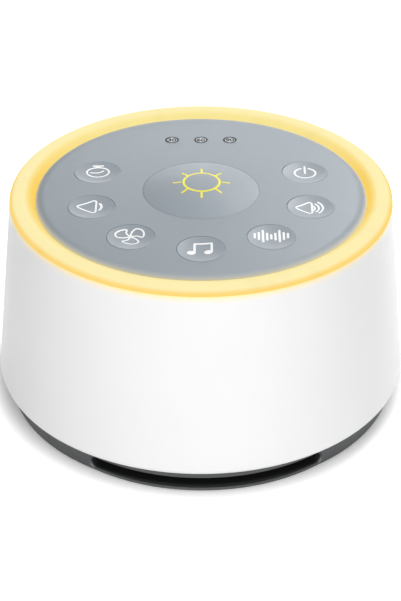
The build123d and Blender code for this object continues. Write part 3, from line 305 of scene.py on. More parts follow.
def line_of_ink(path, width, thickness, drape, closed=False):
    """Grid of one printed line: a flat band with bevelled sides carried along a path. At an open end the half
    width falls along a half circle. Every point stands on the surface that drape gives, plus the ink."""
    path = along(path, width / 3)
    half = width / 2
    if closed:
        path = path[:-1]
        slope = np.roll(path, -1, 0) - np.roll(path, 1, 0)
        reach = np.full(len(path), half)
    else:
        beyond = half * np.sin(np.linspace(np.pi / 2, 0, CAP_STEPS))[:-1, None]
        head, tail = path[0] - path[1], path[-1] - path[-2]
        head, tail = head / np.linalg.norm(head), tail / np.linalg.norm(tail)
        cap = np.sqrt(np.maximum(half**2 - beyond[:, 0] ** 2, 0))
        reach = np.concatenate([cap, np.full(len(path), half), cap[::-1]])
        path = np.vstack([path[0] + head * beyond, path, path[-1] + tail * beyond[::-1]])
        slope = np.gradient(path, axis=0)
    slope /= np.linalg.norm(slope, axis=1, keepdims=True)
    side = np.stack([-slope[:, 1], slope[:, 0]], axis=1)
    across, lift = BAND.T
    flat = path[:, None, :] + side[:, None, :] * (reach[:, None] * across)[..., None]
    height = drape(flat[..., 0], flat[..., 1]) + lift * thickness
    return np.dstack([flat, height]), closed, True


def patch_of_ink(centre, size, angle, thickness, drape):
    """Grid of one filled ellipse: rings of points from its middle to its edge, and back under it."""
    out = np.concatenate([np.linspace(0, 1, PATCH_RINGS), np.linspace(1, 0, PATCH_RINGS)])
    lift = np.repeat((1, -1), PATCH_RINGS) * thickness
    way = np.linspace(0, 2 * np.pi, PATCH_SIDES, endpoint=False)[:, None]
    a, b = size[0] / 2 * out * np.cos(way), size[1] / 2 * out * np.sin(way)
    turn = np.radians(angle)
    x = centre[0] + a * np.cos(turn) - b * np.sin(turn)
    y = centre[1] + a * np.sin(turn) + b * np.cos(turn)
    return np.dstack([x, y, drape(x, y) + lift]), True, False


# ---- heights of the printed faces
def sphere_radius(half_width, rise):
    """Radius of the sphere with a cap of this half width and rise: their squares' sum over twice the rise."""
    return (half_width**2 + rise**2) / (2 * rise)


def dish_face(sizes, centre):
    """Height of a key's dish: the rim less the depth, rising on a sphere through the dish's edge."""
    depth = sizes.dish_depth
    ball = sphere_radius(sizes.dish_diameter / 2, depth)

    def height(x, y):
        out = (x - centre[0]) ** 2 + (y - centre[1]) ** 2
        return centre[2] - depth + ball - np.sqrt(np.maximum(ball**2 - out, 0))

    return height


def dome_face(sizes):
    """Height of the light key's dome: its peak, falling on a sphere to the dome's edge."""
    ball = sphere_radius(sizes.light_key_diameter / 2, sizes.light_key_rise)
    return lambda x, y: LIGHT_KEY_TOP - ball + np.sqrt(np.maximum(ball**2 - x**2 - y**2, 0))


def level_face(height):
    """The same height everywhere."""
    return lambda x, y: np.full(np.shape(x), height)


# ---- pictograms
# Each is a list of lines: the points in millimetres about the key's middle, the line's width in strokes,
# and whether it is closed.
WAVES = ((1.75, 38), (2.8, 46), (3.85, 46))  # radius and half angle of each sound wave
NOTE_HEADS, NOTE_HEAD, NOTE_TILT = ((-2.5, -1.1), (1.85, -0.65)), (2.2, 1.9), 18  # middles, size, degrees


def stopwatch():
    """Circle with a crown on a short stem, and a bent hand."""
    return [
        (bend((0, 0), 1, 0, 360, 48) * (3.0, 2.5) + (0.13, 0.9), 1.0, True),
        ([(-1.2, 4.15), (1.35, 4.15)], 1.1, False),
        ([(-0.55, 4.1), (0.05, 3.5), (0.6, 4.1)], 0.9, False),
        (flowing([(-1.8, 0.82), (-0.7, 0.75), (0.3, 0.9), (1.0, 1.25), (1.6, 1.75)]), 1.0, False),
    ]


def loudspeaker(tip, right, middle, half_height):
    """Rounded triangle that points left."""
    corners = [(tip, middle), (right, middle - half_height), (right, middle + half_height)]
    return rounded(corners, 0.62)


def volume_down():
    """Loudspeaker with one sound wave."""
    return [
        (loudspeaker(-4.3, 1.1, 0.85, 3.5), 1.0, True),
        (bend((0.0, 0.85), 2.55, -37, 37, 14), 1.25, False),
    ]


def volume_up():
    """Loudspeaker with three sound waves."""
    waves = [(bend((-0.55, 0.3), radius, -angle, angle, 16), 1.0, False) for radius, angle in WAVES]
    return [(loudspeaker(-4.15, 0.45, 0.3, 3.4), 1.0, True), *waves]


def fan():
    """Three blades, each an outline from the hub round the tip and back, a third of a turn apart."""
    tip = [(0.35, 2.0), (1.4, 3.3), (2.9, 2.7), (3.45, 0.9), (3.05, -0.5), (1.65, 0.25)]
    blade = flowing([(0, 0.1), *tip, (0, 0)])
    turns = np.radians((0, 120, 240))
    spun = [blade @ np.array([[np.cos(a), np.sin(a)], [-np.sin(a), np.cos(a)]]) for a in turns]
    return [(outline + (-0.15, 1.15), 0.95, False) for outline in spun]


def notes():
    """Two stems under a beam; the note heads are filled apart."""
    return [([(-1.65, -0.9), (-1.65, 3.1), (2.7, 3.35), (2.7, -0.5)], 1.15, False)]


def sound_bars():
    """Nine upright bars, tallest at the third and the seventh."""
    heights, middle = (1.9, 3.1, 5.2, 3.0, 1.9, 3.0, 5.2, 3.1, 1.9), 1.05
    places = np.linspace(-4.2, 4.3, len(heights))
    return [([(x, middle - h / 2), (x, middle + h / 2)], 1.15, False) for x, h in zip(places, heights)]


def power():
    """Circle open at the top, with an upright bar in the gap."""
    gap = 21
    return [
        (bend((0, 0), 1, 90 + gap, 450 - gap, 44) * (2.85, 2.6) + (0.12, 0.5), 1.0, False),
        ([(0.12, 0.55), (0.12, 3.9)], 1.0, False),
    ]


def sun():
    """Oval with eight rays: the level ones stand off it, the others start at its edge."""
    middle = np.array((0.15, 0.85))
    rays = (((5.7, 0), (7.4, 0)), ((0, 5.4), (0, 7.9)), ((3.7, 3.65), (5.15, 5.4)))
    lines = [(bend((0, 0), 1, 0, 360, 72) * (4.8, 5.1) + middle, 1.0, True)]
    for near, far in rays:
        for flip in ((1, 1), (1, -1), (-1, 1), (-1, -1)):
            lines.append(([near * np.array(flip) + middle, far * np.array(flip) + middle], 0.9, False))
    return lines


PICTOGRAMS = {
    "timer": stopwatch,
    "volume_down": volume_down,
    "fan": fan,
    "lullaby": notes,
    "noise": sound_bars,
    "volume_up": volume_up,
    "power": power,
}


# ---- materials
MIX_FACTOR, MIX_FIRST, MIX_SECOND, MIX_RESULT = 0, 6, 7, 2  # sockets of a Mix node that mixes colours
WAVE = 0.314  # length of one band of the Wave texture at scale 1
CLOUDS, SMEARS = 55, 420  # patches a metre of a plastic's colour and of its gloss
NO_LIGHT, FULL_LIGHT = (0, 0, 0), (1, 1, 1)


class Shader:
    """A material's node tree with short ways to add and join nodes."""

    def __init__(self, name):
        self.material = bpy.data.materials.new(name)
        self.material.use_nodes = True
        self.tree = self.material.node_tree
        self.surface = self.tree.nodes["Principled BSDF"]
        self.place = self.add("TexCoord").outputs["Object"]

    def add(self, kind, **values):
        """Adds a node. The values are its properties, and inputs is a dictionary of its inputs' values."""
        node = self.tree.nodes.new(f"ShaderNode{kind}")
        for key, value in values.pop("inputs", {}).items():
            node.inputs[key].default_value = value
        for key, value in values.items():
            setattr(node, key, value)
        return node

    def join(self, source, target):
        """Feeds an input from an output, or sets it to a number or a colour."""
        if isinstance(source, bpy.types.NodeSocket):
            self.tree.links.new(source, target)
        else:
            target.default_value = (*source, 1) if isinstance(source, tuple) else source

    def set(self, **values):
        """Feeds or sets inputs of the surface shader; an underscore stands for a space."""
        for key, value in values.items():
            self.join(value, self.surface.inputs[key.replace("_", " ")])

    def source(self, name):
        """Output that feeds an input of the surface shader."""
        return self.surface.inputs[name].links[0].from_socket

    def mapped(self, **inputs):
        """The object coordinates, scaled or moved."""
        node = self.add("Mapping", inputs=inputs)
        self.join(self.place, node.inputs["Vector"])
        return node.outputs["Vector"]

    def noise(self, scale, detail=3, rough=0.5, place=None):
        """Noise over the object's own coordinates, at so many grains a metre."""
        node = self.add("TexNoise", inputs={"Scale": scale, "Detail": detail, "Roughness": rough})
        self.join(place or self.place, node.inputs["Vector"])
        return node.outputs["Fac"]

    def bands(self, way, pitch):
        """Bands that follow each other along one axis of the object, a pitch apart."""
        inputs = {"Scale": WAVE / pitch}
        node = self.add("TexWave", wave_type="BANDS", bands_direction=way, inputs=inputs)
        self.join(self.place, node.inputs["Vector"])
        return node.outputs["Fac"]

    def spread(self, value, low, high, from_low=0.3, from_high=0.7):
        """Stretches a value from one range to another; noise lies mostly between 0.3 and 0.7."""
        inputs = {"From Min": from_low, "From Max": from_high, "To Min": low, "To Max": high}
        node = self.add("MapRange", inputs=inputs)
        self.join(value, node.inputs["Value"])
        return node.outputs["Result"]

    def blend(self, factor, first, second, mode="MIX"):
        """Mixes two colours, each a tuple or an output."""
        node = self.add("Mix", data_type="RGBA", blend_type=mode)
        for source, number in ((factor, MIX_FACTOR), (first, MIX_FIRST), (second, MIX_SECOND)):
            self.join(source, node.inputs[number])
        return node.outputs[MIX_RESULT]

    def math(self, kind, first, second=0):
        """One step of arithmetic on two values, each a number or an output."""
        node = self.add("Math", operation=kind)
        for source, target in zip((first, second), node.inputs):
            self.join(source, target)
        return node.outputs[0]

    def parts(self):
        """The three object coordinates."""
        node = self.add("SeparateXYZ")
        self.join(self.place, node.inputs[0])
        return tuple(node.outputs)

    def radius(self):
        """Distance from the upright axis."""
        x, y, _ = self.parts()
        return self.math("SQRT", self.math("ADD", self.math("MULTIPLY", x, x), self.math("MULTIPLY", y, y)))

    def sideways(self, radius, power):
        """1 at the left and right and 0 at the front and back: the sideways share of the radius, to a power."""
        part = self.math("DIVIDE", self.math("ABSOLUTE", self.parts()[0]), radius)
        return self.math("POWER", part, power)

    def relief(self, height, depth):
        """Bumps the surface by a height value times a depth in metres."""
        node = self.add("Bump", inputs={"Distance": depth, "Strength": 1})
        self.join(height, node.inputs["Height"])
        self.set(Normal=node.outputs["Normal"])


def moulded(name, colour, rough=0.42, grain=2600, depth=0.012, shift=0.035):
    """Moulded plastic: faint cloudy colour, slightly uneven gloss and the fine spark texture of the mould. The
    grain is in grains a metre, its depth in millimetres, and shift is the share by which the colour varies."""
    uneven = 0.05
    shader = Shader(name)
    darker = tuple(c * (1 - shift) for c in colour)
    lighter = tuple(min(1, c * (1 + shift)) for c in colour)
    shader.set(Base_Color=shader.blend(shader.spread(shader.noise(CLOUDS, 4), 0, 1), darker, lighter))
    shader.set(Roughness=shader.spread(shader.noise(SMEARS), rough - uneven, rough + uneven))
    shader.relief(shader.noise(grain, 2, 0.6), depth * MM)
    return shader


def satin(name, colours, rough):
    """Grey plastic of the keypad: very fine grain, and hardly any cloud."""
    return moulded(name, tuple(colours.panel), rough, 2800, 0.005, 0.012)


def shell_plastic(colours):
    """Satin white plastic with a painted glow of the ring's light at its upper edge: emission, and a warm tint
    of its colour near the top.
    """
    reach, falloff, strength = 2.6 * MM, 2.2, 0.16
    shader = moulded("shell_satin_white", tuple(colours.shell), 0.36, 3200, 0.006, 0.008)
    near_top = shader.spread(shader.parts()[2], 0, 1, SHELL_TOP - reach, SHELL_TOP)
    # painted glow: emission and a warm tint near the top edge stand in for the ring's light falling on the
    # shell
    painted_glow = shader.math("POWER", near_top, falloff)
    tint = shader.blend(painted_glow, FULL_LIGHT, linear(255, 214, 110))
    shader.set(Emission_Color=tint, Emission_Strength=shader.math("MULTIPLY", painted_glow, strength))
    shader.set(Base_Color=shader.blend(painted_glow, shader.source("Base Color"), linear(255, 226, 150)))
    return shader.material


def panel_plastic(colours):
    """Satin grey plastic with the ring's glow painted on its rolled edge as emission: strongest at its rim, and
    gone a little way in, sooner at both sides than at the front and back. The roll itself is duller."""
    front_reach, side_reach, falloff, strength = 3.2 * MM, 1.4 * MM, 1.8, 0.5
    roll_start, roll_end, duller = 2.8 * MM, 0.8 * MM, 0.5
    shader = satin("panel_satin_grey", colours, 0.42)
    radius = shader.radius()
    reach = shader.spread(shader.sideways(radius, 2), front_reach, side_reach, 0, 1)
    inward = shader.math("DIVIDE", shader.math("SUBTRACT", PANEL_RIM, radius), reach)
    left = shader.math("MAXIMUM", shader.math("SUBTRACT", 1, inward), 0)
    # painted glow: emission near the rim stands in for the ring's light on the rolled edge
    lit = shader.math("POWER", left, falloff)
    tint = shader.blend(lit, linear(214, 220, 236), linear(255, 226, 140))
    shader.set(Emission_Color=tint, Emission_Strength=shader.math("MULTIPLY", lit, strength))
    rolled = shader.spread(radius, 0, duller, PANEL_RIM - roll_start, PANEL_RIM - roll_end)
    shader.set(Roughness=shader.math("ADD", shader.source("Roughness"), rolled))
    return shader.material


def base_plastic(colours):
    """Moulded dark grey plastic with painted shade inside the slots: near black further in than the outer skin,
    and higher than the underside."""
    shade_depth, skin_depth, under_top, under_end = 1.4 * MM, 0.5 * MM, 0.5 * MM, 0.7 * MM
    shader = moulded("base_moulded_grey", tuple(colours.base), 0.46, 1700, 0.02, 0.06)
    outside = shader.spread(shader.radius(), 0, 1, BASE_RIM - shade_depth, BASE_RIM - skin_depth)
    low = shader.spread(shader.parts()[2], 1, 0, under_top, under_end)
    skin = shader.math("MAXIMUM", outside, low)
    # painted shade: the slots' inside turns near black where shade falls
    shader.set(Base_Color=shader.blend(skin, linear(22, 22, 23), shader.source("Base Color")))
    return shader.material


def lit_diffuser(colours):
    """Milky ring lit from inside, with the shading of its rounded profile painted into its glow: pale on its
    crown, deeper to the edges, and a painted shade deepest on its inner wall at the sides. The bands of colour
    lie a little further in at the back."""
    seam, lean, wall_start, wall_end, falloff = 0.2 * MM, 0.05, 0.08, 0.36, 5
    unlit, strength = 0.88, 0.9
    stops = (
        (0, colours.ring_inner), (0.16, colours.ring_inner), (0.4, colours.ring_crown),
        (0.8, colours.ring_crown), (0.93, colours.ring_outer), (1, colours.ring_outer),
    )
    shader = Shader("ring_lit_diffuser")
    radius = shader.radius()
    backward = shader.math("MULTIPLY", shader.math("DIVIDE", shader.parts()[1], radius), lean)
    across = shader.math("ADD", shader.spread(radius, 0, 1, PANEL_RIM + seam, RING_RIM), backward)
    ramp = shader.add("ValToRGB")
    while len(ramp.color_ramp.elements) < len(stops):
        ramp.color_ramp.elements.new(0.5)
    for element, (place, colour) in zip(ramp.color_ramp.elements, stops):
        element.position = place
        element.color = (*colour, 1)
    shader.join(across, ramp.inputs[0])
    # painted shade: the inner wall turns deeper at the left and right
    wall = shader.spread(across, 1, 0, wall_start, wall_end)
    side_shade = shader.math("MULTIPLY", shader.sideways(radius, falloff), wall)
    tint = shader.blend(side_shade, ramp.outputs[0], tuple(colours.ring_side_shade))
    cloud = shader.blend(shader.spread(shader.noise(140, 2), 0.97, 1.03), NO_LIGHT, FULL_LIGHT)
    lit = shader.blend(1, tint, cloud, "MULTIPLY")
    shader.set(Base_Color=shader.blend(unlit, lit, NO_LIGHT))
    shader.set(Emission_Color=lit, Emission_Strength=strength, Roughness=0.6, Specular_IOR_Level=0.01)
    shader.relief(shader.noise(2400, 2), 0.004 * MM)
    return shader.material


def ink(name, colour, glow=0):
    """Screen-printed ink: matte, with a fine stipple. A glow, where given, is painted light: emission that
    makes the ink brighter.
    """
    shader = moulded(name, tuple(colour), rough=0.5, grain=9000, depth=0.004, shift=0.02)
    shader.set(Specular_IOR_Level=0.25)
    if glow:
        shader.set(Emission_Color=tuple(colour), Emission_Strength=glow)
    return shader.material


def brushed(name, colour, rough=0.32, stretch=(1, 1, 14)):
    """Metal with fine lines, which run across the axis that has the large factor."""
    shader = Shader(name)
    lines = shader.noise(900, 4, 0.6, shader.mapped(Scale=stretch))
    shader.set(Base_Color=shader.blend(lines, tuple(c * 0.85 for c in colour), colour))
    shader.set(Roughness=shader.spread(lines, rough - 0.08, rough + 0.12))
    shader.relief(lines, 0.003 * MM)
    shader.set(Metallic=1)
    return shader.material


def rubbery(name, colour, grain=1800):
    """Soft rubber: dull, with a dusty mottle and a fine grain."""
    shader = moulded(name, colour, rough=0.78, grain=grain, depth=0.02, shift=0.14)
    shader.set(Sheen_Weight=0.15, Sheen_Roughness=0.6)
    return shader.material


def circuit_board(name, mask, copper):
    """Solder mask over copper: long thin traces in one direction, pads between them."""
    shader = Shader(name)
    brick = shader.add("TexBrick", inputs={"Scale": 1, "Mortar Size": 0.06, "Mortar Smooth": 0.2})
    shader.join(shader.mapped(Scale=(420, 60, 60)), brick.inputs["Vector"])
    traces = brick.outputs["Fac"]
    shader.set(Base_Color=shader.blend(traces, copper, mask))
    shader.set(Roughness=shader.spread(shader.noise(300), 0.25, 0.4))
    shader.relief(traces, 0.02 * MM)
    return shader.material


def woven(name, first, second, pitch):
    """Cloth: two sets of threads that cross, light over dark, at a pitch in millimetres."""
    shader = Shader(name)
    cross = shader.math("MULTIPLY", shader.bands("X", pitch * MM), shader.bands("Y", pitch * MM))
    shader.set(Base_Color=shader.blend(cross, first, second))
    shader.relief(cross, 0.05 * MM)
    shader.set(Roughness=0.85, Sheen_Weight=0.2)
    return shader.material


def banded(name, way, first, second, pitch, depth, **surface):
    """Bands along one axis that rise to the second colour: turns of wire, or cores of cable side by side."""
    shader = Shader(name)
    bands = shader.bands(way, pitch * MM)
    shader.set(Base_Color=shader.blend(bands, first, second), **surface)
    shader.relief(bands, depth * MM)
    return shader.material


def phosphor(name):
    """Small lamp: a white package round a lit yellow middle."""
    shader = moulded(name, linear(250, 236, 190), rough=0.4, grain=4000, depth=0.01)
    shader.set(Emission_Color=linear(255, 214, 130), Emission_Strength=0.8)
    return shader.material


# finishes without a pattern, by slot: the material, its screen colour, and then what moulded takes
EVEN_FINISHES = {
    "inner_white": ("inner_white", (232, 232, 228)),
    "inner_black": ("inner_black", (33, 33, 35)),
    "light_pipe": ("light_pipe_milky", (200, 206, 210), 0.4, 2000, 0.004),
    "chip_black": ("chip_epoxy", (38, 38, 40), 0.6, 3500, 0.02, 0.1),
    "switch_black": ("switch_black", (30, 30, 31)),
    "plunger_black": ("plunger_black", (60, 60, 62), 0.35),
    "basket_steel": ("basket_black_paint", (44, 45, 47), 0.3, 900, 0.03, 0.1),
    "magnet_ferrite": ("magnet_ferrite", (62, 62, 66), 0.65, 700, 0.05, 0.15),
    "cone_paper": ("cone_pulp", (48, 48, 50), 0.9, 1100, 0.06, 0.3),
    "terminal_board": ("terminal_phenolic", (120, 84, 50), 0.5, 900, 0.03, 0.12),
    "wire_insulation": ("wire_insulation", (168, 40, 36), 0.4, 1500, 0.01, 0.05),
    "cell_wrap": ("cell_wrap", (64, 122, 158), 0.22, 700, 0.01, 0.04),
    "jack_black": ("jack_black", (34, 34, 36)),
    "connector_white": ("connector_nylon", (226, 222, 206), 0.5, 1300, 0.02, 0.04),
}


def cad_finishes(colours):
    """Material of each slot of the record."""
    copper = linear(214, 128, 76)
    even = {
        slot: moulded(name, linear(*screen), *rest).material
        for slot, (name, screen, *rest) in EVEN_FINISHES.items()
    }
    return even | {
        "shell_white": shell_plastic(colours),
        "ring_diffuser": lit_diffuser(colours),
        "panel_grey": panel_plastic(colours),
        "key_grey": satin("key_satin_grey", colours, 0.46).material,
        "base_dark": base_plastic(colours),
        "foot_rubber": rubbery("foot_rubber", linear(52, 52, 54)),
        "surround_rubber": rubbery("surround_rubber", linear(36, 36, 38)),
        "gasket_foam": rubbery("gasket_foam", linear(58, 58, 60), 500),
        "board_green": circuit_board("board_green", linear(22, 92, 54), linear(58, 132, 82)),
        "board_white": circuit_board("board_white", linear(228, 228, 220), linear(206, 206, 196)),
        "lamp_chip": phosphor("lamp_phosphor"),
        "screw_steel": brushed("screw_zinc", linear(196, 198, 200)),
        "pole_steel": brushed("pole_zinc", linear(186, 186, 180)),
        "socket_steel": brushed("socket_nickel", linear(206, 206, 202), 0.25),
        "coil_copper": banded(
            "coil_copper", "Z", tuple(c * 0.5 for c in copper), copper, 0.2, 0.05, Metallic=1, Roughness=0.35
        ),
        "spider_cloth": woven("spider_cloth", linear(120, 84, 36), linear(204, 158, 84), 0.6),
        "strap_black": woven("strap_weave", linear(20, 20, 21), linear(58, 58, 60), 0.9),
        "ribbon_grey": banded(
            "ribbon_grey", "X", linear(150, 152, 156), linear(214, 216, 218), 1, 0.08, Roughness=0.5
        ),
    }


def finish_of(slot):
    """Material already made for a slot of the record."""
    for node, made in frame["nodes"].items():
        if SLOTS[node] == slot:
            return made.material_slots[0].material
    raise RuntimeError(f"no packed node has the slot {slot}")


# ---- operators
class SOUNDMACHINE_OT_finishes(bpy.types.Operator):
    """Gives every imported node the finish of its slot"""

    bl_idname = "soundmachine.finishes"
    bl_label = "Finishes"

    def execute(self, context):
        finishes = cad_finishes(context.scene.sound_machine_colours)
        for node, made in frame["nodes"].items():
            made.data.materials.clear()
            made.data.materials.append(finishes[SLOTS[node]])
        return {"FINISHED"}


def skirt(sizes, radius, top):
    """Outline of a key's wall and flange, down from its upper edge and back under it to the axis."""
    low, out = top - sizes.key_skirt, radius + sizes.key_flange
    return [(radius, low), (out, low), (out, low - sizes.key_flange), (0, low - sizes.key_flange)]


def key_outline(sizes, rim):
    """Outline of a round key: the dish on a sphere, a narrow lip, a rounded edge, the wall and the flange."""
    half, radius, edge = sizes.dish_diameter / 2, sizes.key_diameter / 2, sizes.key_edge
    ball = sphere_radius(half, sizes.dish_depth)
    reach = np.degrees(np.arcsin(half / ball))
    dish = bend((0, rim - sizes.dish_depth + ball), ball, -90, -90 + reach, 26)
    corner = bend((radius - edge, rim - edge), edge, 90, 0, 7)
    return np.vstack([dish, corner, skirt(sizes, radius, rim)])


class SOUNDMACHINE_OT_keys(bpy.types.Operator):
    """Makes the seven dished keys"""

    bl_idname = "soundmachine.keys"
    bl_label = "Dished keys"

    def execute(self, context):
        sizes, grey = context.scene.sound_machine_sizes, finish_of("key_grey")
        for name in PICTOGRAMS:
            x, y, rim = key_centre(f"{name}_key")
            grid = turned(key_outline(sizes, rim), (x, y))
            cap = piece(f"{name}_cap", [grid], grey, f"{name}_button", sharp=30)
            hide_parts(f"{name}_key")
        return {"FINISHED"}


class SOUNDMACHINE_OT_light_key(bpy.types.Operator):
    """Makes the big domed key"""

    bl_idname = "soundmachine.light_key"
    bl_label = "Light key"

    def execute(self, context):
        sizes = context.scene.sound_machine_sizes
        half, edge = sizes.light_key_diameter / 2, sizes.key_edge / 2
        ball = sphere_radius(half, sizes.light_key_rise)
        reach = np.degrees(np.arcsin(half / ball))
        peak = LIGHT_KEY_TOP
        base = peak - sizes.light_key_rise
        dome = bend((0, peak - ball), ball, 90, 90 - reach, 40)
        corner = bend((half - edge, base - edge), edge, 60, 0, 5)
        grid = turned(np.vstack([dome[:-1], corner, skirt(sizes, half, base)]), sides=160)
        grey = satin("light_key_satin_grey", context.scene.sound_machine_colours, 0.57)
        grey.set(Specular_IOR_Level=0.6)
        cap = piece("light_cap", [grid], grey.material, "light_button", sharp=30)
        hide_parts("light_key")
        return {"FINISHED"}


def printed(lines, middle, stroke, thickness, face):
    """Grids of a pictogram's lines, printed on a face about a point."""
    return [
        line_of_ink(np.array(path) * MM + middle, stroke * weight, thickness, face, closed)
        for path, weight, closed in lines
    ]


class SOUNDMACHINE_OT_pictograms(bpy.types.Operator):
    """Prints a pictogram on each dished key and on the light key"""

    bl_idname = "soundmachine.pictograms"
    bl_label = "Pictograms"

    def execute(self, context):
        sizes, colours = context.scene.sound_machine_sizes, context.scene.sound_machine_colours
        # the white ink here and the yellow ink below carry a painted glow
        white = ink("print_white", colours.print_white, 0.14)
        for name, drawing in PICTOGRAMS.items():
            centre = key_centre(f"{name}_key")
            face = dish_face(sizes, centre)
            grids = printed(drawing(), centre[:2], sizes.stroke, sizes.ink, face)
            if name == "lullaby":
                for x, y in NOTE_HEADS:
                    head = np.array((x, y)) * MM + centre[:2]
                    grids.append(patch_of_ink(head, np.array(NOTE_HEAD) * MM, NOTE_TILT, sizes.ink, face))
            piece(f"{name}_print", grids, white, f"{name}_button")
        yellow = ink("print_yellow", colours.print_yellow, 0.12)
        rays = printed(sun(), (0, 0), sizes.light_stroke, sizes.ink, dome_face(sizes))
        piece("light_print", rays, yellow, "light_button")
        return {"FINISHED"}


def number_points(text, height):
    """Mesh of a number, and its points centred on the origin with figures of a given height."""
    curve = bpy.data.curves.new("number", "FONT")
    curve.body = text
    curve.resolution_u = 6
    curve.offset = 0.03  # thickens the figures
    made = placed("number", curve)
    bpy.context.view_layer.update()
    mesh = bpy.data.meshes.new_from_object(made)
    bpy.data.objects.remove(made)
    points = np.empty(len(mesh.vertices) * 3)
    mesh.vertices.foreach_get("co", points)
    points = points.reshape(-1, 3)
    low, high = points.min(0), points.max(0)
    points = (points - (low + high) / 2) * height / (high[1] - low[1])
    return mesh, points


class SOUNDMACHINE_OT_timer_marks(bpy.types.Operator):
    """Makes the three light pipes' heads with their printed circles and numbers"""

    bl_idname = "soundmachine.timer_marks"
    bl_label = "Timer marks"

    def execute(self, context):
        sizes, colours = context.scene.sound_machine_sizes, context.scene.sound_machine_colours
        low, high = node_box("indicator_light_pipes")
        radius, y = (high[1] - low[1]) / 2, (high[1] + low[1]) / 2
        pitch = high[0] - radius
        grey, clear = ink("print_grey", colours.print_grey), finish_of("light_pipe")
        proud, edge = sizes.mark_proud, sizes.mark_proud / 2
        level = high[2] + proud
        sunk = level - 4 * proud
        corner = bend((radius - edge, level - edge), edge, 90, 0, 6)
        head = np.vstack([[(0, level)], corner, [(radius, sunk), (0, sunk)]])
        for text, x in zip(MARKS, (-pitch, 0, pitch)):
            piece(f"mark_{text}_head", [turned(head, (x, y), 64)], clear, "housing")
            circle = bend((x, y), radius - edge / 2 - sizes.mark_stroke / 2, 0, 360, 60)
            line = line_of_ink(circle, sizes.mark_stroke, sizes.ink, level_face(level), closed=True)
            piece(f"mark_{text}_circle", [line], grey, "housing")
            mesh, points = number_points(text, sizes.mark_height)
            points += (x, y, level + sizes.ink)
            mesh.vertices.foreach_set("co", points.ravel())
            mesh.update()
            number = finish_piece(f"mark_{text}_number", mesh, grey, "housing")
            wall = number.modifiers.new("ink", "SOLIDIFY")
            wall.thickness = sizes.ink
            wall.offset = -1
        return {"FINISHED"}


FOOT_RADIUS, FOOT_ROUND = 4.5 * MM, 0.45 * MM
HOLLOW_FLAT, HOLLOW_LIP, HOLLOW_DEPTH = 2.6 * MM, 3.1 * MM, 0.35 * MM  # radii of its flat and lip, its depth


class SOUNDMACHINE_OT_feet(bpy.types.Operator):
    """Makes the four rubber feet with a rounded edge and a shallow middle"""

    bl_idname = "soundmachine.feet"
    bl_label = "Rubber feet"

    def execute(self, context):
        high = node_box("rubber_feet")[1]
        place, top = high[0] - FOOT_RADIUS, high[2]
        outline = np.vstack([
            [(0, HOLLOW_DEPTH), (HOLLOW_FLAT, HOLLOW_DEPTH)],
            bend((HOLLOW_LIP, HOLLOW_DEPTH), HOLLOW_DEPTH, 200, 270, 6),
            bend((FOOT_RADIUS - FOOT_ROUND, FOOT_ROUND), FOOT_ROUND, -90, 0, 7),
            [(FOOT_RADIUS, top), (0, top)],
        ])
        grids = [turned(outline, (a * place, b * place), 56) for a in (-1, 1) for b in (-1, 1)]
        feet = piece("feet_pads", grids, finish_of("foot_rubber"), "housing", sharp=50)
        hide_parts("rubber_feet")
        return {"FINISHED"}


# the charging socket's tongue, its contacts, and the headphone jack's collar
TONGUE_FRONT, TONGUE_BACK = 2.1 * MM, 7.1 * MM  # how far behind the socket's mouth it starts and ends
TONGUE_HALF_WIDTH, TONGUE_HALF_HEIGHT, TONGUE_EDGE = 3.35 * MM, 0.42 * MM, 0.12 * MM
CONTACT_FRONT, CONTACT_BACK = 0.5 * MM, 1.2 * MM  # how far from the tongue's ends a contact stops
CONTACT_REACH, CONTACT_WIDTH = 2.75 * MM, 0.26 * MM  # from the middle to the outermost contact, and its width
COLLAR_BORE, COLLAR_RIM, COLLAR_STAND = 1.8 * MM, 2.75 * MM, 0.4 * MM  # two radii, and how far it stands out


def slab(middle, half_width, half_height, back, front, edge):
    """Grid of a flat bar that points along y: a rounded rectangle carried from back to front, where it draws in
    by the edge, with both ends closed at the middle."""
    corners = np.array([(-1, -1), (1, -1), (1, 1), (-1, 1)]) * (half_width, half_height)
    loop = rounded(corners, edge)[:-1]
    stations = (  # place along y, and the shares of the width and the height there
        (back, 0, 0), (back, 1, 1), (front - edge, 1, 1),
        (front, 1 - edge / half_width, 1 - edge / half_height), (front, 0, 0),
    )
    place, wide, tall = np.array(stations).T
    grid = np.empty((len(loop), len(stations), 3))
    grid[..., 0] = middle[0] + loop[:, :1] * wide
    grid[..., 1] = place
    grid[..., 2] = middle[1] + loop[:, 1:] * tall
    return grid, True, False


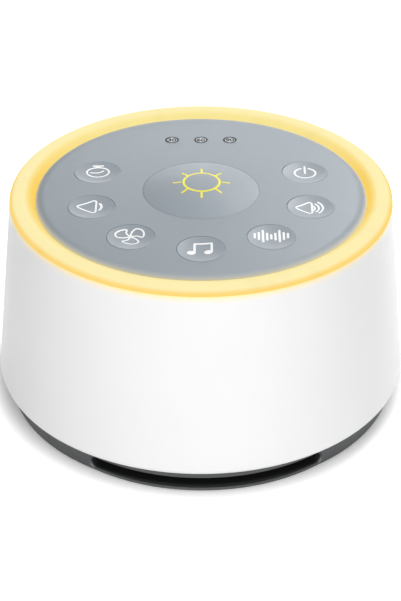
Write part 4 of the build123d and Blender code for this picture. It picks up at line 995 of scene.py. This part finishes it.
class SOUNDMACHINE_OT_sockets(bpy.types.Operator):
    """Makes the charging socket's contact tongue and the metal collar of the headphone jack"""

    bl_idname = "soundmachine.sockets"
    bl_label = "Sockets"

    def execute(self, context):
        sizes = context.scene.sound_machine_sizes
        low, high = node_box("usb_socket")
        x, z = (low[0] + high[0]) / 2, (low[2] + high[2]) / 2
        front, back = high[1] - TONGUE_FRONT, high[1] - TONGUE_BACK
        bar = slab((x, z), TONGUE_HALF_WIDTH, TONGUE_HALF_HEIGHT, back, front, TONGUE_EDGE)
        piece("usb_tongue", [bar], finish_of("jack_black"), "housing", sharp=50)
        gold = brushed("contact_gold", linear(222, 180, 96), 0.25, (14.0, 1.0, 1.0))
        strips = []
        for at in np.linspace(-CONTACT_REACH, CONTACT_REACH, sizes.contacts) + x:
            path = [(at, front - CONTACT_FRONT), (at, back + CONTACT_BACK)]
            for face in (z - TONGUE_HALF_HEIGHT, z + TONGUE_HALF_HEIGHT):
                strips.append(line_of_ink(path, CONTACT_WIDTH, sizes.ink, level_face(face)))
        piece("usb_contacts", strips, gold, "housing")

        low, high = node_box("phones_jack")
        middle = np.array(((low[0] + high[0]) / 2, high[1], (low[2] + high[2]) / 2))
        bore, rim, stand, turn = COLLAR_BORE, COLLAR_RIM, COLLAR_STAND, COLLAR_STAND / 2
        ring = np.vstack([
            [(bore, -stand), (bore, stand / 3)],
            bend((bore + turn, turn), turn, 180, 90, 5),
            bend((rim - turn, turn), turn, 90, 0, 6),
            [(rim, -stand)],
        ])
        collar = turned(ring, sides=72)[0][..., [0, 2, 1]] + middle
        steel = finish_of("socket_steel")
        piece("jack_collar", [(collar, True, True)], steel, "housing", sharp=50)
        return {"FINISHED"}


LAMPS = (  # name, place, size, and the setting with its power
    ("front_lamp", (0, -1.35, 0.42), 1.3, "front_power"),
    ("back_lamp", (0.175, 0.247, 0.285), 0.21, "back_power"),
    ("low_lamp", (-0.02, 0.46, 0.08), 0.16, "low_power"),
)
LIT_POINT = (0, 0, 0.03)  # where the lamps face
FILM_WIDTH, SIGHT, FLOOR_REACH = 36, 20, 4  # the first in millimetres


def lamp(name, place, size, power):
    """Soft square lamp that faces the lit point."""
    data = bpy.data.lights.new(name, "AREA")
    data.size = size
    data.energy = power
    made = placed(name, data)
    made.location = place
    made.rotation_euler = (Vector(LIT_POINT) - Vector(place)).to_track_quat("-Z", "Y").to_euler()


def seen_directly(tree):
    """1 where a ray is seen by the camera, in a reflection or through glass, and 0 in all other light."""
    path = tree.nodes.new("ShaderNodeLightPath")
    most = path.outputs["Is Camera Ray"]
    for name in ("Is Glossy Ray", "Is Transmission Ray"):
        step = tree.nodes.new("ShaderNodeMath")
        step.operation = "MAXIMUM"
        tree.links.new(most, step.inputs[0])
        tree.links.new(path.outputs[name], step.inputs[1])
        most = step.outputs[0]
    return most


class SOUNDMACHINE_OT_stage(bpy.types.Operator):
    """Sets up the camera, the soft lamps, the even light and the pale floor"""

    bl_idname = "soundmachine.stage"
    bl_label = "Stage"

    def execute(self, context):
        scene, stage = context.scene, context.scene.sound_machine_stage
        scene.view_settings.view_transform = "Standard"
        data = bpy.data.cameras.new("camera")
        data.sensor_width = FILM_WIDTH
        data.lens = stage.lens
        data.clip_end = SIGHT
        camera = placed("camera", data)
        camera.location = stage.camera_place
        camera.rotation_euler = (stage.camera_tilt, 0, 0)
        scene.camera = camera

        for name, place, size, power in LAMPS:
            lamp(name, place, size, getattr(stage, power))

        world = bpy.data.worlds.new("even_light")
        scene.world = world
        world.use_nodes = True
        tree = world.node_tree
        even = tree.nodes["Background"]
        white = tree.nodes.new("ShaderNodeBackground")
        for light in (even, white):
            light.inputs["Color"].default_value = (*FULL_LIGHT, 1)
        even.inputs["Strength"].default_value = stage.ambient
        mix = tree.nodes.new("ShaderNodeMixShader")
        tree.links.new(seen_directly(tree), mix.inputs[0])
        tree.links.new(even.outputs[0], mix.inputs[1])
        tree.links.new(white.outputs[0], mix.inputs[2])
        tree.links.new(mix.outputs[0], tree.nodes["World Output"].inputs["Surface"])

        mesh = bpy.data.meshes.new("floor")
        corners = np.array([(-1, -1, 0), (1, -1, 0), (1, 1, 0), (-1, 1, 0)]) * FLOOR_REACH
        mesh.from_pydata(corners.tolist(), [], [(0, 1, 2, 3)])
        floor = placed("floor", mesh)
        mesh.materials.append(self.floor_paint(stage))
        return {"FINISHED"}

    def floor_paint(self, stage):
        """White floor, clear from below and under the base. A seen ray gets a pale surface that takes shadows,
        with plain light on it that grows away from a point a little behind the axis, which paints a shadow
        round the machine's foot. All other light meets a darker surface."""
        shader = Shader("floor_white")
        near, far, back, clear = SHELL_RIM - 2 * MM, SHELL_RIM + 7 * MM, 4 * MM, SHELL_RIM - 4 * MM
        pale = 0.95
        distance = shader.add("VectorMath", operation="LENGTH")
        shader.join(shader.mapped(Location=(0, -back, 0)), distance.inputs[0])
        # painted shadow: the plain light fades to floor_near close to the machine
        plain = shader.spread(distance.outputs["Value"], stage.floor_near, stage.floor_light, near, far)
        plain.node.interpolation_type = "SMOOTHSTEP"
        seen = seen_directly(shader.tree)
        shader.set(Emission_Color=FULL_LIGHT, Emission_Strength=shader.math("MULTIPLY", plain, seen))
        shader.set(Base_Color=shader.spread(seen, stage.floor_bounce, pale, 0, 1))
        shader.set(Roughness=0.9, Specular_IOR_Level=0)
        below = shader.add("NewGeometry").outputs["Backfacing"]
        hidden = shader.math("LESS_THAN", shader.radius(), clear)
        mix = shader.add("MixShader")
        shader.join(shader.math("MAXIMUM", below, hidden), mix.inputs[0])
        shader.join(shader.surface.outputs[0], mix.inputs[1])
        shader.join(shader.add("BsdfTransparent").outputs[0], mix.inputs[2])
        shader.join(mix.outputs[0], shader.tree.nodes["Material Output"].inputs["Surface"])
        return shader.material


# ---- panel and registration
GROUPS = {"colours": SoundMachineColours, "sizes": SoundMachineSizes, "stage": SoundMachineStage}


class SOUNDMACHINE_PT_panel(bpy.types.Panel):
    """Lists the steps and their settings"""

    bl_idname = "SOUNDMACHINE_PT_panel"
    bl_label = "Sound Machine"
    bl_space_type = "VIEW_3D"
    bl_region_type = "UI"
    bl_category = "Sound Machine"

    def draw(self, context):
        for step in STEPS:
            self.layout.operator(f"soundmachine.{step}")
        for group in GROUPS:
            settings = getattr(context.scene, f"sound_machine_{group}")
            box = self.layout.box()
            box.label(text=group.capitalize())
            for name in settings.__annotations__:
                box.prop(settings, name)


CLASSES = (
    *GROUPS.values(),
    SOUNDMACHINE_OT_finishes,
    SOUNDMACHINE_OT_keys,
    SOUNDMACHINE_OT_light_key,
    SOUNDMACHINE_OT_pictograms,
    SOUNDMACHINE_OT_timer_marks,
    SOUNDMACHINE_OT_feet,
    SOUNDMACHINE_OT_sockets,
    SOUNDMACHINE_OT_stage,
    SOUNDMACHINE_PT_panel,
)


def register():
    for item in CLASSES:
        bpy.utils.register_class(item)
    for name, group in GROUPS.items():
        setattr(bpy.types.Scene, f"sound_machine_{name}", bpy.props.PointerProperty(type=group))


def unregister():
    for name in GROUPS:
        delattr(bpy.types.Scene, f"sound_machine_{name}")
    for item in reversed(CLASSES):
        bpy.utils.unregister_class(item)


def main():
    register()
    for step in STEPS:
        getattr(bpy.ops.soundmachine, step)()


if __name__ == "__main__":
    main()
